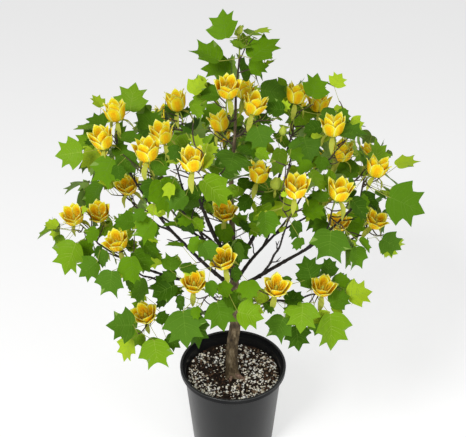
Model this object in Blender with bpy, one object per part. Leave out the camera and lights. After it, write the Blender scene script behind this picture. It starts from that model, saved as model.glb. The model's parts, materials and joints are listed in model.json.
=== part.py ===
"""A tulip tree (Liriodendron) in flower, growing in a round nursery pot.

Metres, +Z up. The origin is the centre of the pot's flat underside, and -Y is the front.
Each limb, each spray of twigs and leaves, the pot and the potting mix is its own closed solid.
"""

import math
import random
from collections import namedtuple

import bmesh
import bpy
from mathutils import Matrix, Vector
from mathutils.bvhtree import BVHTree

UP = Vector((0.0, 0.0, 1.0))
FRONT = Vector((0.0, -1.0, 0.0))
GAP = 0.0003  # clearance that every pair of touching solids keeps
GOLDEN_ANGLE = math.radians(137.5)

# ---------------------------------------------------------------- pot and potting mix
POT_HEIGHT = 0.245
POT_SEGMENTS = 28
FOOT_RADIUS = 0.1073
SHOULDER_RADIUS = 0.1262  # outside of the wall, just under the lip
LIP_RADIUS = 0.1375
LIP_SKIRT = 0.0150  # height of the lip's outer face
LIP_WIDTH = 0.0065
WALL = 0.0024
POT_FLOOR = 0.0045
FOOT_ROUND = 0.003
LIP_ROUND = 0.0025
LEDGE_DEPTH = 0.0115  # the inner ledge below the top of the lip
MIX_TOP = 0.205
MIX_EDGE_DROP = 0.0035
MIX_ROUND = 0.009
TRUNK_BED = 0.085  # radius of the flat middle of the mix

# ---------------------------------------------------------------- limbs
TRUNK_SIDES = 10
BOUGH_SIDES = 5
TRUNK_FOOT_Z = MIX_TOP + GAP
# The trunk's centreline and radius: x, y, height, radius.
TRUNK_KNOTS = (
    (-0.004, 0.000, TRUNK_FOOT_Z, 0.0168),
    (-0.002, 0.000, 0.300, 0.0147),
    (0.006, -0.001, 0.385, 0.0130),
    (0.004, 0.000, 0.485, 0.0102),
    (0.000, 0.003, 0.560, 0.0070),
    (-0.003, 0.002, 0.660, 0.0055),
    (-0.004, 0.000, 0.790, 0.0042),
    (0.004, 0.000, 0.890, 0.0032),
    (0.006, 0.000, 1.000, 0.0022),
)
TRUNK_RINGS = 20
FLARE_HEIGHT = 0.022  # the root flare dies away over this height
FLARE_SPREAD = 0.0045
SURFACE_ROOT_ANGLE = math.radians(-25.0)  # one root stands out at the front right
SURFACE_ROOT_SPREAD = 0.017

Bough = namedtuple("Bough", "name parent share tip root_radius tip_radius rise")
# share is where on the parent the bough leaves it, from 0 at its foot to 1 at its tip.
# rise is how steeply the bough leaves, in degrees above level.
BOUGHS = (
    Bough("bough_left_high", "trunk", 0.375, (-0.076, -0.175, 0.865), 0.0050, 0.0021, 60),
    Bough("bough_left_long", "trunk", 0.350, (-0.232, -0.070, 0.862), 0.0050, 0.0021, 35),
    Bough("bough_left_low", "trunk", 0.320, (-0.300, -0.070, 0.655), 0.0044, 0.0020, 22),
    Bough("bough_left_bottom", "trunk", 0.292, (-0.158, -0.155, 0.500), 0.0038, 0.0020, 12),
    Bough("bough_front", "trunk", 0.335, (-0.045, -0.190, 0.600), 0.0038, 0.0020, 15),
    Bough("bough_front_right", "trunk", 0.288, (0.074, -0.182, 0.572), 0.0040, 0.0020, 12),
    Bough("bough_right_bottom", "trunk", 0.314, (0.166, -0.120, 0.548), 0.0040, 0.0020, 5),
    Bough("bough_right_long", "trunk", 0.344, (0.272, -0.085, 0.775), 0.0052, 0.0021, 30),
    Bough("bough_right_high", "trunk", 0.425, (0.128, 0.030, 0.870), 0.0052, 0.0021, 45),
    Bough("bough_back_left", "trunk", 0.395, (-0.185, 0.225, 0.615), 0.0046, 0.0020, 20),
    Bough("bough_back_right", "trunk", 0.365, (0.185, 0.235, 0.620), 0.0046, 0.0020, 20),
    Bough("bough_back", "trunk", 0.450, (0.000, 0.270, 0.670), 0.0042, 0.0020, 15),
    Bough("bough_left_top", "bough_left_high", 0.45, (-0.112, 0.000, 0.880), 0.0028, 0.0018, 55),
    Bough("bough_left_face", "bough_left_high", 0.30, (-0.142, -0.150, 0.862), 0.0030, 0.0018, 50),
    Bough("bough_left_inner", "bough_left_long", 0.50, (-0.222, 0.030, 0.690), 0.0026, 0.0018, 10),
    Bough("bough_left_front", "bough_left_low", 0.40, (-0.214, -0.168, 0.655), 0.0028, 0.0018, 25),
    Bough("bough_right_inner", "bough_right_long", 0.22, (0.112, -0.185, 0.785), 0.0030, 0.0018, 60),
    Bough("bough_right_front", "bough_right_long", 0.55, (0.200, -0.165, 0.765), 0.0028, 0.0018, 50),
    Bough("bough_right_outer", "bough_right_long", 0.62, (0.292, 0.005, 0.630), 0.0026, 0.0018, 0),
    Bough("bough_right_top", "bough_right_high", 0.62, (0.190, -0.055, 0.850), 0.0028, 0.0018, 35),
    Bough("bough_back_left_high", "bough_back_left", 0.40, (-0.150, 0.175, 0.775), 0.0030, 0.0018, 60),
    Bough("bough_back_left_side", "bough_back_left", 0.55, (-0.285, 0.130, 0.690), 0.0028, 0.0018, 25),
    Bough("bough_back_right_high", "bough_back_right", 0.40, (0.150, 0.185, 0.785), 0.0030, 0.0018, 60),
    Bough("bough_back_right_side", "bough_back_right", 0.55, (0.292, 0.140, 0.700), 0.0028, 0.0018, 25),
)
BOUGH_RINGS = 6
BOUGH_WANDER = 0.0018  # how far a bough strays from its smooth curve
BOUGH_HANDLE = 0.36  # length of the curve's handles, as a share of the bough's reach
BOUGH_TAPER = 1.2

# ---------------------------------------------------------------- sprays of foliage
Spray = namedtuple("Spray", "name limb share blooms far_leaves")
# limb and share say what carries the spray: the tip of a bough (share 1), or a place on the trunk.
# blooms are the centres of its flowers; a fourth value under 1 makes that one a bud of that size.
# far_leaves are the leaves that mark the crown's outline: blade centre and blade length.
SPRAYS = (
    Spray(
        "foliage_top", "trunk", 1.0, ((0.014, 0.000, 1.128, 0.5),),
        ((-0.024, 0.000, 1.136, 0.060), (0.062, 0.000, 1.092, 0.062),
         (-0.057, -0.020, 1.084, 0.056)),
    ),
    Spray(
        "foliage_top_front", "trunk", 0.915, ((-0.010, -0.080, 1.035),),
        ((-0.040, -0.050, 1.068, 0.055), (0.046, -0.050, 1.066, 0.050)),
    ),
    Spray(
        "foliage_top_right", "trunk", 0.865, ((0.045, -0.060, 0.993), (0.105, -0.045, 0.925, 0.6)),
        ((0.085, -0.030, 0.999, 0.058),),
    ),
    Spray(
        "foliage_top_back", "trunk", 0.835, ((-0.030, 0.050, 0.905), (0.025, 0.130, 0.950)),
        ((-0.062, 0.060, 0.960, 0.055),),
    ),
    Spray(
        "foliage_centre_high", "trunk", 0.680, ((0.055, -0.100, 0.855), (0.088, -0.140, 0.850, 0.8)), (),
    ),
    Spray("foliage_centre", "trunk", 0.510, ((-0.018, -0.060, 0.740),), ()),
    Spray("foliage_inner_back", "trunk", 0.560, ((-0.085, 0.095, 0.665),), ()),
    Spray(
        "foliage_left_high", "bough_left_high", 1.0, ((-0.075, -0.270, 0.970),),
        ((0.005, -0.250, 0.950, 0.060),),
    ),
    Spray(
        "foliage_left_long", "bough_left_long", 1.0, ((-0.245, -0.050, 0.972), (-0.264, -0.125, 0.945)),
        ((-0.201, -0.020, 0.992, 0.060), (-0.282, -0.050, 1.000, 0.034), (-0.346, -0.080, 0.885, 0.062)),
    ),
    Spray(
        "foliage_left_low", "bough_left_low", 1.0, ((-0.350, -0.080, 0.740), (-0.305, -0.020, 0.712)),
        ((-0.405, -0.080, 0.705, 0.050), (-0.359, -0.100, 0.647, 0.066)),
    ),
    Spray(
        "foliage_left_bottom", "bough_left_bottom", 1.0, ((-0.192, -0.200, 0.562),),
        ((-0.242, -0.200, 0.466, 0.044), (-0.166, -0.220, 0.463, 0.070), (-0.250, -0.180, 0.515, 0.056),
         (-0.150, -0.130, 0.582, 0.064)),
    ),
    Spray(
        "foliage_front", "bough_front", 1.0, ((-0.020, -0.270, 0.752), (-0.080, -0.245, 0.678)),
        ((-0.024, -0.215, 0.562, 0.064), (-0.105, -0.225, 0.565, 0.060)),
    ),
    Spray(
        "foliage_front_right", "bough_front_right", 1.0, ((0.090, -0.245, 0.668),),
        ((0.098, -0.240, 0.560, 0.062), (0.036, -0.225, 0.580, 0.060)),
    ),
    Spray(
        "foliage_right_bottom", "bough_right_bottom", 1.0, ((0.195, -0.180, 0.620),),
        ((0.212, -0.200, 0.515, 0.068), (0.279, -0.150, 0.584, 0.054), (0.138, -0.215, 0.515, 0.058),
         (0.168, -0.040, 0.585, 0.068)),
    ),
    Spray(
        "foliage_right_long", "bough_right_long", 1.0, ((0.302, -0.100, 0.868),),
        ((0.374, -0.100, 0.776, 0.080), (0.347, -0.080, 0.873, 0.040)),
    ),
    Spray(
        "foliage_right_high", "bough_right_high", 1.0, ((0.140, 0.050, 0.970), (0.196, 0.110, 0.925)),
        ((0.231, 0.080, 0.992, 0.044), (0.112, -0.005, 0.862, 0.066)),
    ),
    Spray(
        "foliage_left_top", "bough_left_top", 1.0, ((-0.122, 0.010, 0.970),),
        ((-0.075, 0.020, 1.000, 0.052),),
    ),
    Spray(
        "foliage_left_face", "bough_left_face", 1.0, ((-0.166, -0.200, 0.955), (-0.146, -0.090, 0.940)), (),
    ),
    Spray(
        "foliage_left_inner", "bough_left_inner", 1.0, ((-0.242, 0.020, 0.760),),
        ((-0.221, -0.020, 0.668, 0.066), (-0.185, 0.000, 0.632, 0.058)),
    ),
    Spray("foliage_left_front", "bough_left_front", 1.0, ((-0.240, -0.200, 0.750),), ()),
    Spray("foliage_right_inner", "bough_right_inner", 1.0, ((0.121, -0.250, 0.902),), ()),
    Spray("foliage_right_front", "bough_right_front", 1.0, ((0.212, -0.200, 0.868),), ()),
    Spray(
        "foliage_right_outer", "bough_right_outer", 1.0, ((0.330, -0.015, 0.690), (0.252, 0.040, 0.650)),
        ((0.356, -0.050, 0.668, 0.048),),
    ),
    Spray(
        "foliage_right_top", "bough_right_top", 1.0, ((0.205, -0.085, 0.955), (0.236, -0.030, 0.870)), (),
    ),
    Spray(
        "foliage_back_left", "bough_back_left", 1.0, ((-0.220, 0.275, 0.700),),
        ((-0.200, 0.320, 0.600, 0.064),),
    ),
    Spray(
        "foliage_back_right", "bough_back_right", 1.0, ((0.220, 0.285, 0.705),),
        ((0.200, 0.325, 0.600, 0.064),),
    ),
    Spray(
        "foliage_back", "bough_back", 1.0, ((-0.030, 0.335, 0.745), (0.050, 0.290, 0.835)),
        ((0.000, 0.385, 0.640, 0.066),),
    ),
    Spray("foliage_back_left_high", "bough_back_left_high", 1.0, ((-0.165, 0.220, 0.850),), ()),
    Spray(
        "foliage_back_left_side", "bough_back_left_side", 1.0, ((-0.330, 0.155, 0.765),),
        ((-0.385, 0.150, 0.690, 0.062),),
    ),
    Spray("foliage_back_right_high", "bough_back_right_high", 1.0, ((0.160, 0.235, 0.855),), ()),
    Spray(
        "foliage_back_right_side", "bough_back_right_side", 1.0, ((0.335, 0.165, 0.775),),
        ((0.390, 0.165, 0.700, 0.062),),
    ),
)
# The crown's reach: height, and how far from the trunk's line the leaves go there.
CROWN_PROFILE = (
    (0.40, 0.20),
    (0.45, 0.29),
    (0.55, 0.35),
    (0.65, 0.42),
    (0.78, 0.42),
    (0.88, 0.37),
    (0.96, 0.31),
    (1.01, 0.25),
    (1.04, 0.11),
    (1.12, 0.09),
    (1.17, 0.04),
)
CROWN_LOW = 0.45
CROWN_HIGH = 1.10
STEM_COLLAR = 0.006  # a stem's first stretch, in line with the bough that carries it
STEM_SIDES = 4
STEM_ROOT_RADIUS = 0.0023
STEM_TIP_RADIUS = 0.0018
STEM_PIECES = 3
TWIG_SIDES = 3
TWIG_RADIUS = 0.0014
TWIG_PIECES = 2
TWIG_BEND = 0.012
TWIG_HANDLE = 0.3  # length of the curve's handles, as a share of the twig's reach
TWIG_ROOT_RUN = 0.009  # a twig's first stretch, which lies in the twig it forks from
TWIG_TRIES = 16
JOINT_SPACING = 0.006  # between two forks, or two petioles, of the same twig
LEAST_TWIGS = 2  # a spray with fewer gets side twigs
SIDE_TWIG_LENGTH = 0.062
SIDE_TWIG_SPREAD = math.radians(62.0)
LEAF_SPACING = 0.0115  # along a twig
LEAVES_PER_TWIG = 9
LEAVES_PER_SPRAY = 9
LEAF_TRIES = 24
PETIOLE_LENGTH = 0.036
PETIOLE_ROOT_RADIUS = 0.00045
PETIOLE_RADIUS = 0.0007
PETIOLE_SUNK = 0.16  # the share of a petiole, at its root, that lies in its twig
LEAF_LENGTH = 0.065
LEAF_THICKNESS = 0.0006  # the least thickness at the middle of the blade
LEAF_FOLD = 0.16  # how far the halves rise from the midrib, as a share of the half width
LEAF_DROOP = 0.14  # how far the tip curls down, as a share of the length
LIMB_CLEARANCE = 0.0010
# The right half of a leaf blade, as shares of its length: across, along.
LEAF_SHOULDER = (0.38, 0.10)
LEAF_SIDE_LOBE = (0.54, 0.58)
LEAF_SINUS = (0.29, 0.66)
LEAF_MIDDLE = 0.42
LEAF_HALF = (LEAF_SHOULDER, LEAF_SIDE_LOBE, LEAF_SINUS)
LEAF_RING = 2 * len(LEAF_HALF) + 3  # points round the blade's edge
LEAF_PITCH_LOW = -55.0  # degrees above level of a blade at CROWN_LOW
LEAF_PITCH_RISE = 78.0  # and how much steeper it is at CROWN_HIGH
LEAF_PITCH_SPREAD = 12.0
LEAF_ROLL_SPREAD = 14.0
LEAF_TURN_SPREAD = 20.0
LEAF_BARE_TIP = 0.008  # a twig's last stretch, without leaves
LEAF_BARE_ROOT = 0.012

# A flower is a goblet of six petals. Its profile, as shares of the flower's width and height.
BLOOM_HEIGHT = 0.056
BLOOM_WIDTH = 0.060
PETALS = 6
CUP_FOOT = 0.13
CUP_BELLY = (0.48, 0.42)
CUP_TIP = (0.45, 1.0)
CUP_DIP = (0.40, 0.70)  # between two petals
CUP_HEART = 0.38  # bottom of the hollow
BUD_BELLY = (0.32, 0.32)
BUD_TIP = 0.8
SEPALS = 3
SEPAL_REACH = 0.0315
SEPAL_DROP = 0.0260

BARK_LOW = (0.20, 0.155, 0.11, 1.0)
BARK_HIGH = (0.045, 0.035, 0.030, 1.0)
LEAF_GREEN = (0.12, 0.28, 0.03, 1.0)
POT_BLACK = (0.018, 0.019, 0.021, 1.0)
MIX_BROWN = (0.09, 0.065, 0.05, 1.0)


# ---------------------------------------------------------------- small helpers
def clear_scene():
    for obj in list(bpy.data.objects):
        bpy.data.objects.remove(obj, do_unlink=True)


def plain_material(name, colour, roughness):
    material = bpy.data.materials.new(name)
    material.use_nodes = True
    shader = material.node_tree.nodes["Principled BSDF"]
    shader.inputs["Base Color"].default_value = colour
    shader.inputs["Roughness"].default_value = roughness
    shader.inputs["Metallic"].default_value = 0.0
    return material


def new_object(name, solid, collection=None):
    """solid is (points, faces); the object joins the scene's collection unless another is given."""
    points, faces = solid
    mesh = bpy.data.meshes.new(name)
    mesh.from_pydata([tuple(p) for p in points], [], faces)
    obj = bpy.data.objects.new(name, mesh)
    (collection or bpy.context.scene.collection).objects.link(obj)
    return obj


def finish(obj, material, smooth_below=None):
    obj.data.materials.clear()
    obj.data.materials.append(material)
    if smooth_below is not None:
        obj.data.shade_smooth()
        obj.data.set_sharp_from_angle(angle=math.radians(smooth_below))


def apply_modifiers(obj):
    graph = bpy.context.evaluated_depsgraph_get()
    shaped = bpy.data.meshes.new_from_object(obj.evaluated_get(graph))
    plain = obj.data
    obj.modifiers.clear()
    obj.data = shaped
    bpy.data.meshes.remove(plain)


def remove_objects(objects):
    for obj in list(objects):
        mesh = obj.data
        bpy.data.objects.remove(obj, do_unlink=True)
        bpy.data.meshes.remove(mesh)


def perpendicular(direction):
    side = direction.cross(UP)
    if side.length < 1e-3:
        side = direction.cross(FRONT)
    return side.normalized()


def outward_from_trunk(point):
    """The level direction from the trunk's line to this point."""
    level = Vector((point.x, point.y, 0.0))
    return level.normalized() if level.length > 1e-3 else FRONT.copy()


def catmull_rom(knots, share):
    """A point on the smooth curve through the knots, which are tuples of equal length."""
    place = min(max(share, 0.0), 1.0) * (len(knots) - 1)
    i = min(int(place), len(knots) - 2)
    t = place - i
    a, b, c, d = (knots[min(max(j, 0), len(knots) - 1)] for j in (i - 1, i, i + 1, i + 2))
    return tuple(
        0.5 * (2 * q + (r - p) * t + (2 * p - 5 * q + 4 * r - s) * t * t + (3 * q - p - 3 * r + s) * t**3)
        for p, q, r, s in zip(a, b, c, d)
    )


def bezier(a, b, c, d, t):
    u = 1.0 - t
    return a * u**3 + b * (3 * u * u * t) + c * (3 * u * t * t) + d * t**3


# ---------------------------------------------------------------- tubes
def tube(path, radii, sides, extra=0.0, radius_at=None):
    """A closed tube along the path. radius_at(ring, angle) can add to a ring's radius at an angle."""
    points, faces = [], []
    tangent = (path[1] - path[0]).normalized()
    side = perpendicular(tangent)
    for ring, centre in enumerate(path):
        ahead = path[min(ring + 1, len(path) - 1)]
        behind = path[max(ring - 1, 0)]
        tangent = (ahead - behind).normalized()
        side = (side - tangent * side.dot(tangent)).normalized()
        other = tangent.cross(side)
        for k in range(sides):
            angle = 2 * math.pi * k / sides
            radius = radii[ring] + extra
            if radius_at:
                radius += radius_at(ring, angle)
            points.append(centre + (side * math.cos(angle) + other * math.sin(angle)) * radius)
    for ring in range(len(path) - 1):
        for k in range(sides):
            low, high = ring * sides + k, ring * sides + (k + 1) % sides
            faces.append((low, high, high + sides))
            faces.append((low, high + sides, low + sides))
    last = (len(path) - 1) * sides
    faces += [(0, k + 1, k) for k in range(1, sides - 1)]
    faces += [(last, last + k, last + k + 1) for k in range(1, sides - 1)]
    return points, faces


Limb = namedtuple("Limb", "path radii sides radius_at")


def limb_point(limb, share):
    """(point, direction, radius) at a share of the limb's length."""
    lengths = [0.0]
    for a, b in zip(limb.path, limb.path[1:]):
        lengths.append(lengths[-1] + (b - a).length)
    wanted = share * lengths[-1]
    i = 0
    while i < len(limb.path) - 2 and lengths[i + 1] < wanted:
        i += 1
    t = (wanted - lengths[i]) / (lengths[i + 1] - lengths[i])
    point = limb.path[i].lerp(limb.path[i + 1], t)
    radius = limb.radii[i] * (1 - t) + limb.radii[i + 1] * t
    return point, (limb.path[i + 1] - limb.path[i]).normalized(), radius


def limb_solid(limb, extra=0.0):
    return tube(limb.path, limb.radii, limb.sides, extra, limb.radius_at)


# ---------------------------------------------------------------- trunk and boughs
def trunk_limb():
    path, radii = [], []
    for ring in range(TRUNK_RINGS):
        # Rings crowd towards the foot, where the flare is.
        share = (ring / (TRUNK_RINGS - 1)) ** 1.35
        x, y, z, radius = catmull_rom(TRUNK_KNOTS, share)
        path.append(Vector((x, y, z)))
        radii.append(radius)
    # The foot stands square on the mix, so its first two centres are plumb.
    path[1].x, path[1].y = path[0].x, path[0].y

    side = perpendicular(UP)
    other = UP.cross(side)

    def flare(ring, angle):
        fade = math.exp(-(path[ring].z - TRUNK_FOOT_Z) / FLARE_HEIGHT)
        level = side * math.cos(angle) + other * math.sin(angle)
        turn = math.atan2(level.y, level.x) - SURFACE_ROOT_ANGLE
        root = max(0.0, math.cos(turn)) ** 6 * SURFACE_ROOT_SPREAD
        return fade * (FLARE_SPREAD * (1 + 0.4 * math.cos(3 * turn)) + fade * root)

    return Limb(path, radii, TRUNK_SIDES, flare)


def bough_limb(bough, parent):
    start, along, _ = limb_point(parent, bough.share)
    tip = Vector(bough.tip)
    reach = tip - start
    level = Vector((reach.x, reach.y, 0.0)).normalized()
    rise = math.radians(bough.rise)
    leave = (level * math.cos(rise) + UP * math.sin(rise) + along * 0.3).normalized()
    arrive = (reach.normalized() + UP * 0.45).normalized()
    handle = reach.length * BOUGH_HANDLE
    draw = random.Random(bough.name)
    path, radii = [], []
    for ring in range(BOUGH_RINGS):
        t = ring / (BOUGH_RINGS - 1)
        point = bezier(start, start + leave * handle, tip - arrive * handle, tip, t)
        if 0.1 < t < 0.9:
            stray = Vector((draw.gauss(0, 1), draw.gauss(0, 1), draw.gauss(0, 1)))
            point += stray * BOUGH_WANDER
        path.append(point)
        thick = (1 - t) ** BOUGH_TAPER
        radii.append(bough.root_radius * thick + bough.tip_radius * (1 - thick))
    return Limb(path, radii, BOUGH_SIDES, None)


def grow_limbs():
    limbs = {"trunk": trunk_limb()}
    for bough in BOUGHS:
        limbs[bough.name] = bough_limb(bough, limbs[bough.parent])
    return limbs


def build_limbs(limbs, bark_low, bark_high):
    trunk = new_object("trunk", limb_solid(limbs["trunk"]))
    finish(trunk, bark_low, 50)
    for bough in BOUGHS:
        obj = new_object(bough.name, limb_solid(limbs[bough.name]))
        cutter = new_object("cutter", limb_solid(limbs[bough.parent], GAP))
        cut = obj.modifiers.new("seat", "BOOLEAN")
        cut.operation = "DIFFERENCE"
        cut.solver = "EXACT"
        cut.object = cutter
        apply_modifiers(obj)
        remove_objects([cutter])
        keep_largest_body(obj.data)
        finish(obj, bark_high, 50)


def keep_largest_body(mesh):
    """Drops what a Boolean leaves loose, such as the sliver of a root beyond its parent's far side."""
    shape = bmesh.new()
    shape.from_mesh(mesh)
    bodies, seen = [], set()
    for face in shape.faces:
        if face in seen:
            continue
        body, edge_of_body = [], [face]
        seen.add(face)
        while edge_of_body:
            current = edge_of_body.pop()
            body.append(current)
            for edge in (edge for edge in current.edges if len(edge.link_faces) == 2):
                for neighbour in edge.link_faces:
                    if neighbour not in seen:
                        seen.add(neighbour)
                        edge_of_body.append(neighbour)
        bodies.append(body)
    bodies.sort(key=lambda body: sum(face.calc_area() for face in body))
    for body in bodies[:-1]:
        bmesh.ops.delete(shape, geom=body, context="FACES")
    shape.to_mesh(mesh)
    shape.free()


# ---------------------------------------------------------------- leaves
Leaf = namedtuple("Leaf", "root base midrib normal length")


def leaf_point(leaf, across, along, above=0.0):
    """A point of the blade. across and along are shares of its length; above is in metres."""
    side = leaf.midrib.cross(leaf.normal)
    lift = LEAF_FOLD * abs(across) - LEAF_DROOP * along * along
    offset = side * across + leaf.midrib * along + leaf.normal * lift
    return leaf.base + offset * leaf.length + leaf.normal * above


def leaf_solid(leaf, root_share=0.0):
    """Blade and petiole as one closed solid. root_share leaves out that share of the petiole."""
    side = leaf.midrib.cross(leaf.normal)
    ring = [leaf.base + side * PETIOLE_RADIUS]
    ring += [leaf_point(leaf, across, along) for across, along in LEAF_HALF]
    ring.append(leaf_point(leaf, 0.0, 1.0))
    ring += [leaf_point(leaf, -across, along) for across, along in reversed(LEAF_HALF)]
    ring.append(leaf.base - side * PETIOLE_RADIUS)

    stalk = (leaf.base - leaf.root).normalized()
    root = leaf.root.lerp(leaf.base, root_share)
    root_side = (side - stalk * side.dot(stalk)).normalized() * PETIOLE_ROOT_RADIUS
    root_top = root_side.cross(stalk) * 1.5
    points = ring + [
        leaf.base + leaf.normal * PETIOLE_RADIUS * 1.5,
        leaf_point(leaf, 0.0, LEAF_MIDDLE, LEAF_THICKNESS),
        root + root_side - root_top / 3,
        root - root_side - root_top / 3,
        root + root_top * 2 / 3,
    ]
    n = len(ring)
    right, left, tip, crest, upper = 0, n - 1, n // 2, n, n + 1
    root_right, root_left, root_crest = n + 2, n + 3, n + 4
    faces = [(upper, i, i + 1) for i in range(n - 1)]
    faces += [(upper, left, crest), (upper, crest, right)]
    faces += [(right, i + 1, i) for i in range(1, tip)]
    faces += [(left, i + 1, i) for i in range(tip, n - 2)]
    faces.append((left, tip, right))
    for a, b, c, d in (
        (left, right, root_right, root_left),
        (right, crest, root_crest, root_right),
        (crest, left, root_left, root_crest),
    ):
        faces += [(a, b, c), (a, c, d)]
    faces.append((root_left, root_right, root_crest))
    return points, faces


def blade_frame(place, heading, draw, loose):
    """(midrib, normal) of a blade: high leaves point up, low ones hang, and all face the light."""
    height = (place.z - CROWN_LOW) / (CROWN_HIGH - CROWN_LOW)
    pitch = LEAF_PITCH_LOW + LEAF_PITCH_RISE * height + draw.gauss(0, LEAF_PITCH_SPREAD + loose)
    pitch = math.radians(pitch)
    midrib = heading * math.cos(pitch) + UP * math.sin(pitch)
    light = UP * 0.55 + outward_from_trunk(place) * 0.45
    if place.y < 0.10:
        light += FRONT * 0.45
    normal = (light - midrib * light.dot(midrib)).normalized()
    roll = math.radians(draw.gauss(0, LEAF_ROLL_SPREAD + loose))
    return midrib, Matrix.Rotation(roll, 3, midrib) @ normal


def pose_leaf(root, twig_direction, azimuth, draw, trial):
    """A leaf that springs from the twig at root."""
    side = perpendicular(twig_direction)
    around = side * math.cos(azimuth) + twig_direction.cross(side) * math.sin(azimuth)
    out = outward_from_trunk(root)
    height = (root.z - CROWN_LOW) / (CROWN_HIGH - CROWN_LOW)
    stalk = (twig_direction * 0.40 + around * 0.85 + out * 0.30 + UP * (0.5 * height - 0.2)).normalized()
    length = LEAF_LENGTH * draw.uniform(0.78, 1.25) * (1.0 - 0.016 * trial)
    base = root + stalk * PETIOLE_LENGTH * draw.uniform(0.7, 1.4)
    level = Vector((stalk.x, stalk.y, 0.0)) + out * 0.35
    heading = level.normalized() if level.length > 1e-3 else out
    heading = Matrix.Rotation(math.radians(draw.gauss(0, LEAF_TURN_SPREAD + trial)), 3, "Z") @ heading
    midrib, normal = blade_frame(root, heading, draw, trial)
    return Leaf(root, base, midrib, normal, length)


def pose_far_leaf(fork, centre, length, draw):
    """A leaf of the crown's outline: its blade's centre is given, and its twig comes from fork."""
    out = outward_from_trunk(centre)
    level = Vector((centre.x - fork.x, centre.y - fork.y, 0.0)) + out * 0.02
    midrib, normal = blade_frame(centre, level.normalized(), draw, 0)
    base = centre - midrib * length * 0.45
    run = base - fork
    petiole = min(PETIOLE_LENGTH * 1.2, run.length * 0.6)
    return Leaf(base - run.normalized() * petiole, base, midrib, normal, length)


# ---------------------------------------------------------------- flowers and buds
Bloom = namedtuple("Bloom", "base axis size")


def bloom_frame(bloom):
    side = perpendicular(bloom.axis)
    return side, bloom.axis.cross(side)


def cup_solid(bloom):
    """Six petals as one goblet with a toothed rim and a hollow top, and three sepals under it."""
    side, other = bloom_frame(bloom)
    height, width = BLOOM_HEIGHT * bloom.size, BLOOM_WIDTH * bloom.size

    def at(across, along, turn):
        angle = 2 * math.pi * turn / PETALS
        level = side * math.cos(angle) + other * math.sin(angle)
        return bloom.base + level * width * across + bloom.axis * height * along

    points = [at(CUP_FOOT, 0.0, k) for k in range(PETALS)]
    points += [at(*CUP_BELLY, k) for k in range(PETALS)]
    for k in range(PETALS):
        points += [at(*CUP_TIP, k), at(*CUP_DIP, k + 0.5)]
    points.append(at(0.0, CUP_HEART, 0))
    heart = len(points) - 1
    sepal_tip = (SEPAL_REACH / BLOOM_WIDTH, -SEPAL_DROP / BLOOM_HEIGHT)
    points += [at(*sepal_tip, 2 * k + 0.5) for k in range(SEPALS)]
    faces = [tuple(range(PETALS - 1, -1, -1))]
    for k in range(PETALS):
        after = (k + 1) % PETALS
        belly, next_belly = PETALS + k, PETALS + after
        tip, dip, next_tip = 2 * PETALS + 2 * k, 2 * PETALS + 2 * k + 1, 2 * PETALS + 2 * after
        faces.append((k, next_belly, belly))
        if k % 2:
            faces.append((k, after, next_belly))
        else:
            sepal = heart + 1 + k // 2
            faces += [(k, after, sepal), (after, next_belly, sepal), (next_belly, k, sepal)]
        faces += [(belly, dip, tip), (belly, next_belly, dip), (next_belly, next_tip, dip)]
        faces += [(heart, tip, dip), (heart, dip, next_tip)]
    return points, faces


def bud_solid(bloom):
    """A closed flower bud: a pointed spindle."""
    side, other = bloom_frame(bloom)
    height, width = BLOOM_HEIGHT * bloom.size, BLOOM_WIDTH * bloom.size
    belly = bloom.base + bloom.axis * height * BUD_BELLY[1]
    points = [bloom.base - bloom.axis * 0.002]
    for k in range(PETALS):
        angle = 2 * math.pi * k / PETALS
        points.append(belly + (side * math.cos(angle) + other * math.sin(angle)) * width * BUD_BELLY[0])
    points.append(bloom.base + bloom.axis * height * BUD_TIP)
    faces = []
    for k in range(PETALS):
        here, after = 1 + k, 1 + (k + 1) % PETALS
        faces += [(0, after, here), (PETALS + 1, here, after)]
    return points, faces


def bloom_solid(bloom, is_bud):
    return bud_solid(bloom) if is_bud else cup_solid(bloom)


# ---------------------------------------------------------------- growing the sprays
def solid_tree(solid):
    return BVHTree.FromPolygons([tuple(p) for p in solid[0]], solid[1])


def crosses_itself(solid):
    tree = solid_tree(solid)
    return any(not set(solid[1][a]) & set(solid[1][b]) for a, b in tree.overlap(tree))


class Space:
    """What is already there, so that each new twig, flower and leaf touches nothing of another node."""

    def __init__(self, limbs):
        self.limbs = [solid_tree(limb_solid(limb, LIMB_CLEARANCE)) for limb in limbs.values()]
        self.things = []
        self.growths = []

    def free(self, growth, whole, trimmed):
        """Whether solids fit in. Against its own spray a solid is held without its sunk root."""
        whole_trees = [solid_tree(solid) for solid in whole]
        trimmed_trees = [solid_tree(solid) for solid in trimmed]
        if any(tree.overlap(limb) for tree in whole_trees for limb in self.limbs):
            return False
        for owner, thing in self.things:
            trees = trimmed_trees if owner is growth else whole_trees
            if any(tree.overlap(thing) for tree in trees):
                return False
        return True

    def add(self, growth, solids):
        self.things += [(growth, solid_tree(solid)) for solid in solids]

    def owner(self, point):
        """The spray that a place belongs to, which is the one with the nearest seed."""
        return min(self.growths, key=lambda growth: growth.nearest_seed(point))

    def fits(self, leaf, growth):
        whole, trimmed = leaf_solid(leaf), leaf_solid(leaf, PETIOLE_SUNK)
        blade = whole[0][:LEAF_RING]
        if not all(inside_crown(point) and self.owner(point) is growth for point in blade):
            return False
        return not crosses_itself(whole) and self.free(growth, [whole], [trimmed])


def inside_crown(point):
    heights = [entry[0] for entry in CROWN_PROFILE]
    if not heights[0] < point.z < heights[-1]:
        return False
    i = max(k for k, height in enumerate(heights[:-1]) if height <= point.z)
    (low, near), (high, far) = CROWN_PROFILE[i], CROWN_PROFILE[i + 1]
    return math.hypot(point.x, point.y) < near + (far - near) * (point.z - low) / (high - low)


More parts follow.
